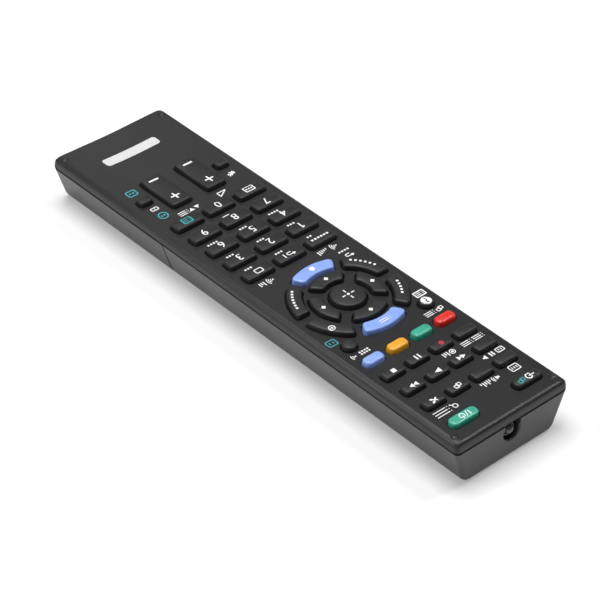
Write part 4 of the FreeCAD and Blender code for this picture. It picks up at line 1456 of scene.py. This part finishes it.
@dataclass
class Emitter:
    """The infrared diode: a cast lens round an anvil and a post, on two leads."""

    height: float = 10.9
    length: float = 8.6
    radius: float = 2.5
    bead: float = 1.84
    dome: float = 1.6
    flange: float = 2.88
    lead_pitch: float = 2.54
    lead: float = 0.5
    lead_corner: float = 0.12

    def lens(self) -> Mesh:
        """The turned lens: flange, barrel, collar, groove and dome, from y = 0.

        Returns:
            The lens.
        """
        springing = self.length - self.dome
        flange = [(0, 0), (self.flange - 0.15, 0), (self.flange, 0.15), (self.flange, 0.85),
                  (self.flange - 0.15, 1.0), (self.radius, 1.0)]
        collar = [(self.radius - inward, springing + up) for inward, up in (
            (0, -0.05), (0.06, 0.14), (0.16, 0.20), (0.30, 0.18), (0.42, 0.06), (0.50, -0.35))]
        dome = [(self.bead * math.cos(turn), springing + self.dome * math.sin(turn))
                for turn in (math.radians(9 * step) for step in range(9))]
        return lathed([*flange, *collar, (self.bead, springing - 0.35), *dome, (0, self.length)])

    def leads(self) -> Mesh:
        """The two leads, inside the lens and behind it, with the anvil and its cup.

        Returns:
            The leads.
        """
        half = self.lead / 2
        parts = []
        for x in (-self.lead_pitch / 2, self.lead_pitch / 2):
            for along, high, y in ((self.length, half, 1.3), (self.lead, 2.8, -2.75)):
                post = extruded(flat_bar(self.lead, along, self.lead_corner, 3), -half, high)
                parts.append(moved(post, x, y))
        anvil = [(0, 3.0), (0.7, 3.0), (1.25, 4.6), (1.25, 5.2), (1.0, 5.2), (0.55, 4.7), (0, 4.7)]
        return joined([*parts, moved(lathed(anvil), -0.45)])

    def build(self) -> None:
        """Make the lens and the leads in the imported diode's place."""
        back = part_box("ir_led")[1].y / MM - self.length
        for mesh, name, finish in ((self.lens(), "ir_led_lens", SmokyEpoxy("smoky_epoxy")),
                                   (self.leads(), "ir_led_leads", PlatedSteel("diode_leads"))):
            piece = finished(moved(mesh, y=back, z=self.height), name, "case", finish)
            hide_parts("ir_led")
        log.info("emitter")


@dataclass
class PowerBay:
    """The two cells and their springs; the contact plates stay as packed."""

    height: float = 7.15
    cell_radius: float = 5.25
    cell_length: float = 44.5
    nub: float = 1.2
    wire: float = 0.29
    spring_length: float = 4.5
    spring_radii: Pair = (3.2, 1.9)
    spring_turns: float = 3.0
    flat_share: float = 0.16

    def cell(self, name: str, x: float, start: float, way: float) -> list[bpy.types.Object]:
        """One cell: its steel can and the printed sleeve round it.

        Args:
            name: The start of the pieces' names.
            x: The cell's place across the handset.
            start: Where its positive end is along Y.
            way: 1 where it lies towards +Y, and -1 where it lies towards -Y.

        Returns:
            The can and the sleeve.
        """
        radius, length, nub = self.cell_radius, self.cell_length, self.nub
        can = [(0, 0), (1.65, 0), (1.9, 0.25), (1.9, nub), (2.6, nub + 0.05), (3.9, nub + 0.1),
               (4.3, nub + 0.45), (4.9, nub + 0.5), (5.05, nub + 0.8), (5.05, length - 0.6),
               (4.8, length - 0.15), (4.2, length), (3.4, length), (3.2, length - 0.25), (0, length - 0.25)]
        sleeve = [(0, 2.4), (4.9, 2.4), (5.05, 2.0), (radius - 0.05, 1.95), (radius, 2.1),
                  (radius, length - 0.9), (radius - 0.05, length - 0.75), (5.05, length - 0.8),
                  (4.9, length - 1.2), (0, length - 1.2)]
        return [finished(moved(lathed(profile, way), x, start, self.height), f"{name}_{part}", "case", finish)
                for part, profile, finish in (
                    ("can", can, PlatedSteel("cell_steel", roughness=0.30)),
                    ("sleeve", sleeve, CellSleeve(f"{name}_film", start=start, way=way)))]

    def spring(self, name: str, x: float, start: float, way: float) -> bpy.types.Object:
        """One conical spring, wound from its wide turn towards the cell.

        Args:
            name: The piece's name.
            x: The spring's place across the handset.
            start: Where its wide turn lies along Y.
            way: 1 where it is wound towards +Y, and -1 where it is wound towards -Y.

        Returns:
            The spring.
        """
        base, tip = self.spring_radii
        height = self.spring_length - 2 * self.wire - 0.05
        line = bpy.data.curves.new(name, "CURVE")
        line.dimensions = "3D"
        line.bevel_depth = self.wire * MM
        line.bevel_resolution = 3
        line.use_fill_caps = True
        route = line.splines.new("POLY")
        steps = int(self.spring_turns * 28)
        route.points.add(steps)
        for index, point in enumerate(route.points):
            share = index / steps
            turn = math.tau * self.spring_turns * share
            rise = min(max((share - self.flat_share) / (1 - 2 * self.flat_share), 0.0), 1.0)
            radius = base + (tip - base) * rise
            point.co = ((x + radius * math.cos(turn)) * MM,
                        (start + way * (self.wire + height * rise)) * MM,
                        (self.height + radius * math.sin(turn)) * MM, 1)
        wound = mesh_of(line, 1e-7)
        bmesh.ops.scale(wound, vec=(1 / MM,) * 3, verts=wound.verts[:])
        bmesh.ops.recalc_face_normals(wound, faces=wound.faces[:])
        return finished(wound, name, "case", PlatedSteel("spring_wire", drawn=(1, 1, 1)), 60.0)

    def build(self) -> None:
        """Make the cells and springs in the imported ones' places."""
        low, high = (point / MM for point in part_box("aaa_batteries"))
        x = high.x - self.cell_radius
        for piece in self.cell("right_cell", x, high.y, -1) + self.cell("left_cell", -x, low.y, 1):
            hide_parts("aaa_batteries")
        low, high = (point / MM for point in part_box("battery_springs"))
        for piece in (self.spring("rear_spring", x, low.y, 1), self.spring("front_spring", -x, high.y, -1)):
            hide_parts("battery_springs")
        PlatedSteel("contact_sheet").dress_node("contact_plates")
        log.info("power bay")


class Electronics:
    """The keypad sheet, the board and what is soldered to it."""

    def build(self) -> None:
        """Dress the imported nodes."""
        MatSilicone("mat_silicone").dress_node("keypad_mat")
        Laminate("solder_mask").dress_node("circuit_board")
        MouldedBody("component_epoxy").dress_node("board_components")
        log.info("electronics")


# The studio

@dataclass
class Studio:
    """A white floor, soft lamps and the camera at the photograph's place."""

    floor_side: float = 6.0
    floor_drop: float = 0.00003
    room: Colour = (0.14, 0.14, 0.14)
    camera_place: Triple = (0.449594, 0.501587, 0.533871)
    right: Triple = (-0.74728, 0.66446, 0.00772)
    down: Triple = (0.40703, 0.46689, -0.78507)
    lens: float = 150.0
    sensor: float = 36.0
    clip: Pair = (0.02, 20.0)
    lamps: tuple[tuple[str, Triple, float, float], ...] = (
        ("overhead_softbox", (0.03, -0.25, 1.5), 0.85, 20.5),
        ("side_softbox", (0.69, -0.42, 0.57), 0.35, 1.8),
        ("edge_softbox", (-0.55, 0.20, 0.88), 0.2, 2.6),
        ("rear_softbox", (-0.50, -0.80, 0.56), 0.3, 0.24))

    def floor(self) -> None:
        """The floor, a hair below the handset's underside."""
        sheet = bmesh.new()
        bmesh.ops.create_grid(sheet, x_segments=4, y_segments=4, size=self.floor_side / 2)
        moved(sheet, z=-self.floor_drop)
        data = bpy.data.meshes.new("studio_floor")
        sheet.to_mesh(data)
        sheet.free()
        floor = linked("studio_floor", data)
        StudioFloor("studio_paper").dress(floor)
        floor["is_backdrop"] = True

    def lamp(self, name: str, place: Triple, size: float, power: float) -> None:
        """A square soft lamp that looks at the handset.

        Args:
            name: The lamp's name.
            place: Where it hangs, in metres.
            size: Its side, in metres.
            power: Its power, in watts.
        """
        data = bpy.data.lights.new(name, "AREA")
        data.shape = "SQUARE"
        data.size = size
        data.energy = power
        lamp = linked(name, data)
        lamp.location = place
        lamp.rotation_euler = (-Vector(place)).to_track_quat("-Z", "Y").to_euler()

    def sky(self) -> None:
        """An even room, white to the camera and grey to everything else."""
        world = bpy.data.worlds.new("studio_room")
        bpy.context.scene.world = world
        recipe = Recipe(world)
        dim, white = (recipe.signal("ShaderNodeBackground", "Background", {"Color": colour})
                      for colour in (self.room, (1, 1, 1)))
        seen = recipe.signal("ShaderNodeLightPath", "Is Camera Ray")
        recipe.end(recipe.mixed(seen, dim, white), "ShaderNodeOutputWorld")

    def camera(self) -> None:
        """The camera, fitted to the photograph."""
        data = bpy.data.cameras.new("photo_camera")
        data.lens = self.lens
        data.sensor_width = self.sensor
        data.clip_start, data.clip_end = self.clip
        camera = linked("photo_camera", data)
        right, up = Vector(self.right).normalized(), -Vector(self.down).normalized()
        up = (up - right * up.dot(right)).normalized()
        turn = Matrix((right, up, right.cross(up))).transposed().to_4x4()
        camera.matrix_world = Matrix.Translation(self.camera_place) @ turn
        bpy.context.scene.camera = camera

    def build(self) -> None:
        """Set up the floor, lamps, room and camera."""
        self.floor()
        for name, place, size, power in self.lamps:
            self.lamp(name, place, size, power)
        self.sky()
        self.camera()
        bpy.context.scene.view_settings.view_transform = "Standard"
        log.info("studio")


def corners(box: tuple[Vector, Vector]) -> list[list[float]]:
    """A box's two corners as plain lists."""
    return [list(point) for point in box]


def main() -> None:
    """Build the handset's looks round its frame, and measure its bounds before and after."""
    logging.basicConfig(level=logging.INFO, format="%(message)s")
    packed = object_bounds()
    for assembly in (Shell(), Keypad(), Emitter(), PowerBay(), Electronics(), Studio()):
        assembly.build()
    {"cad": corners(packed), "visual": corners(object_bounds())}


if __name__ == "__main__":
    main()
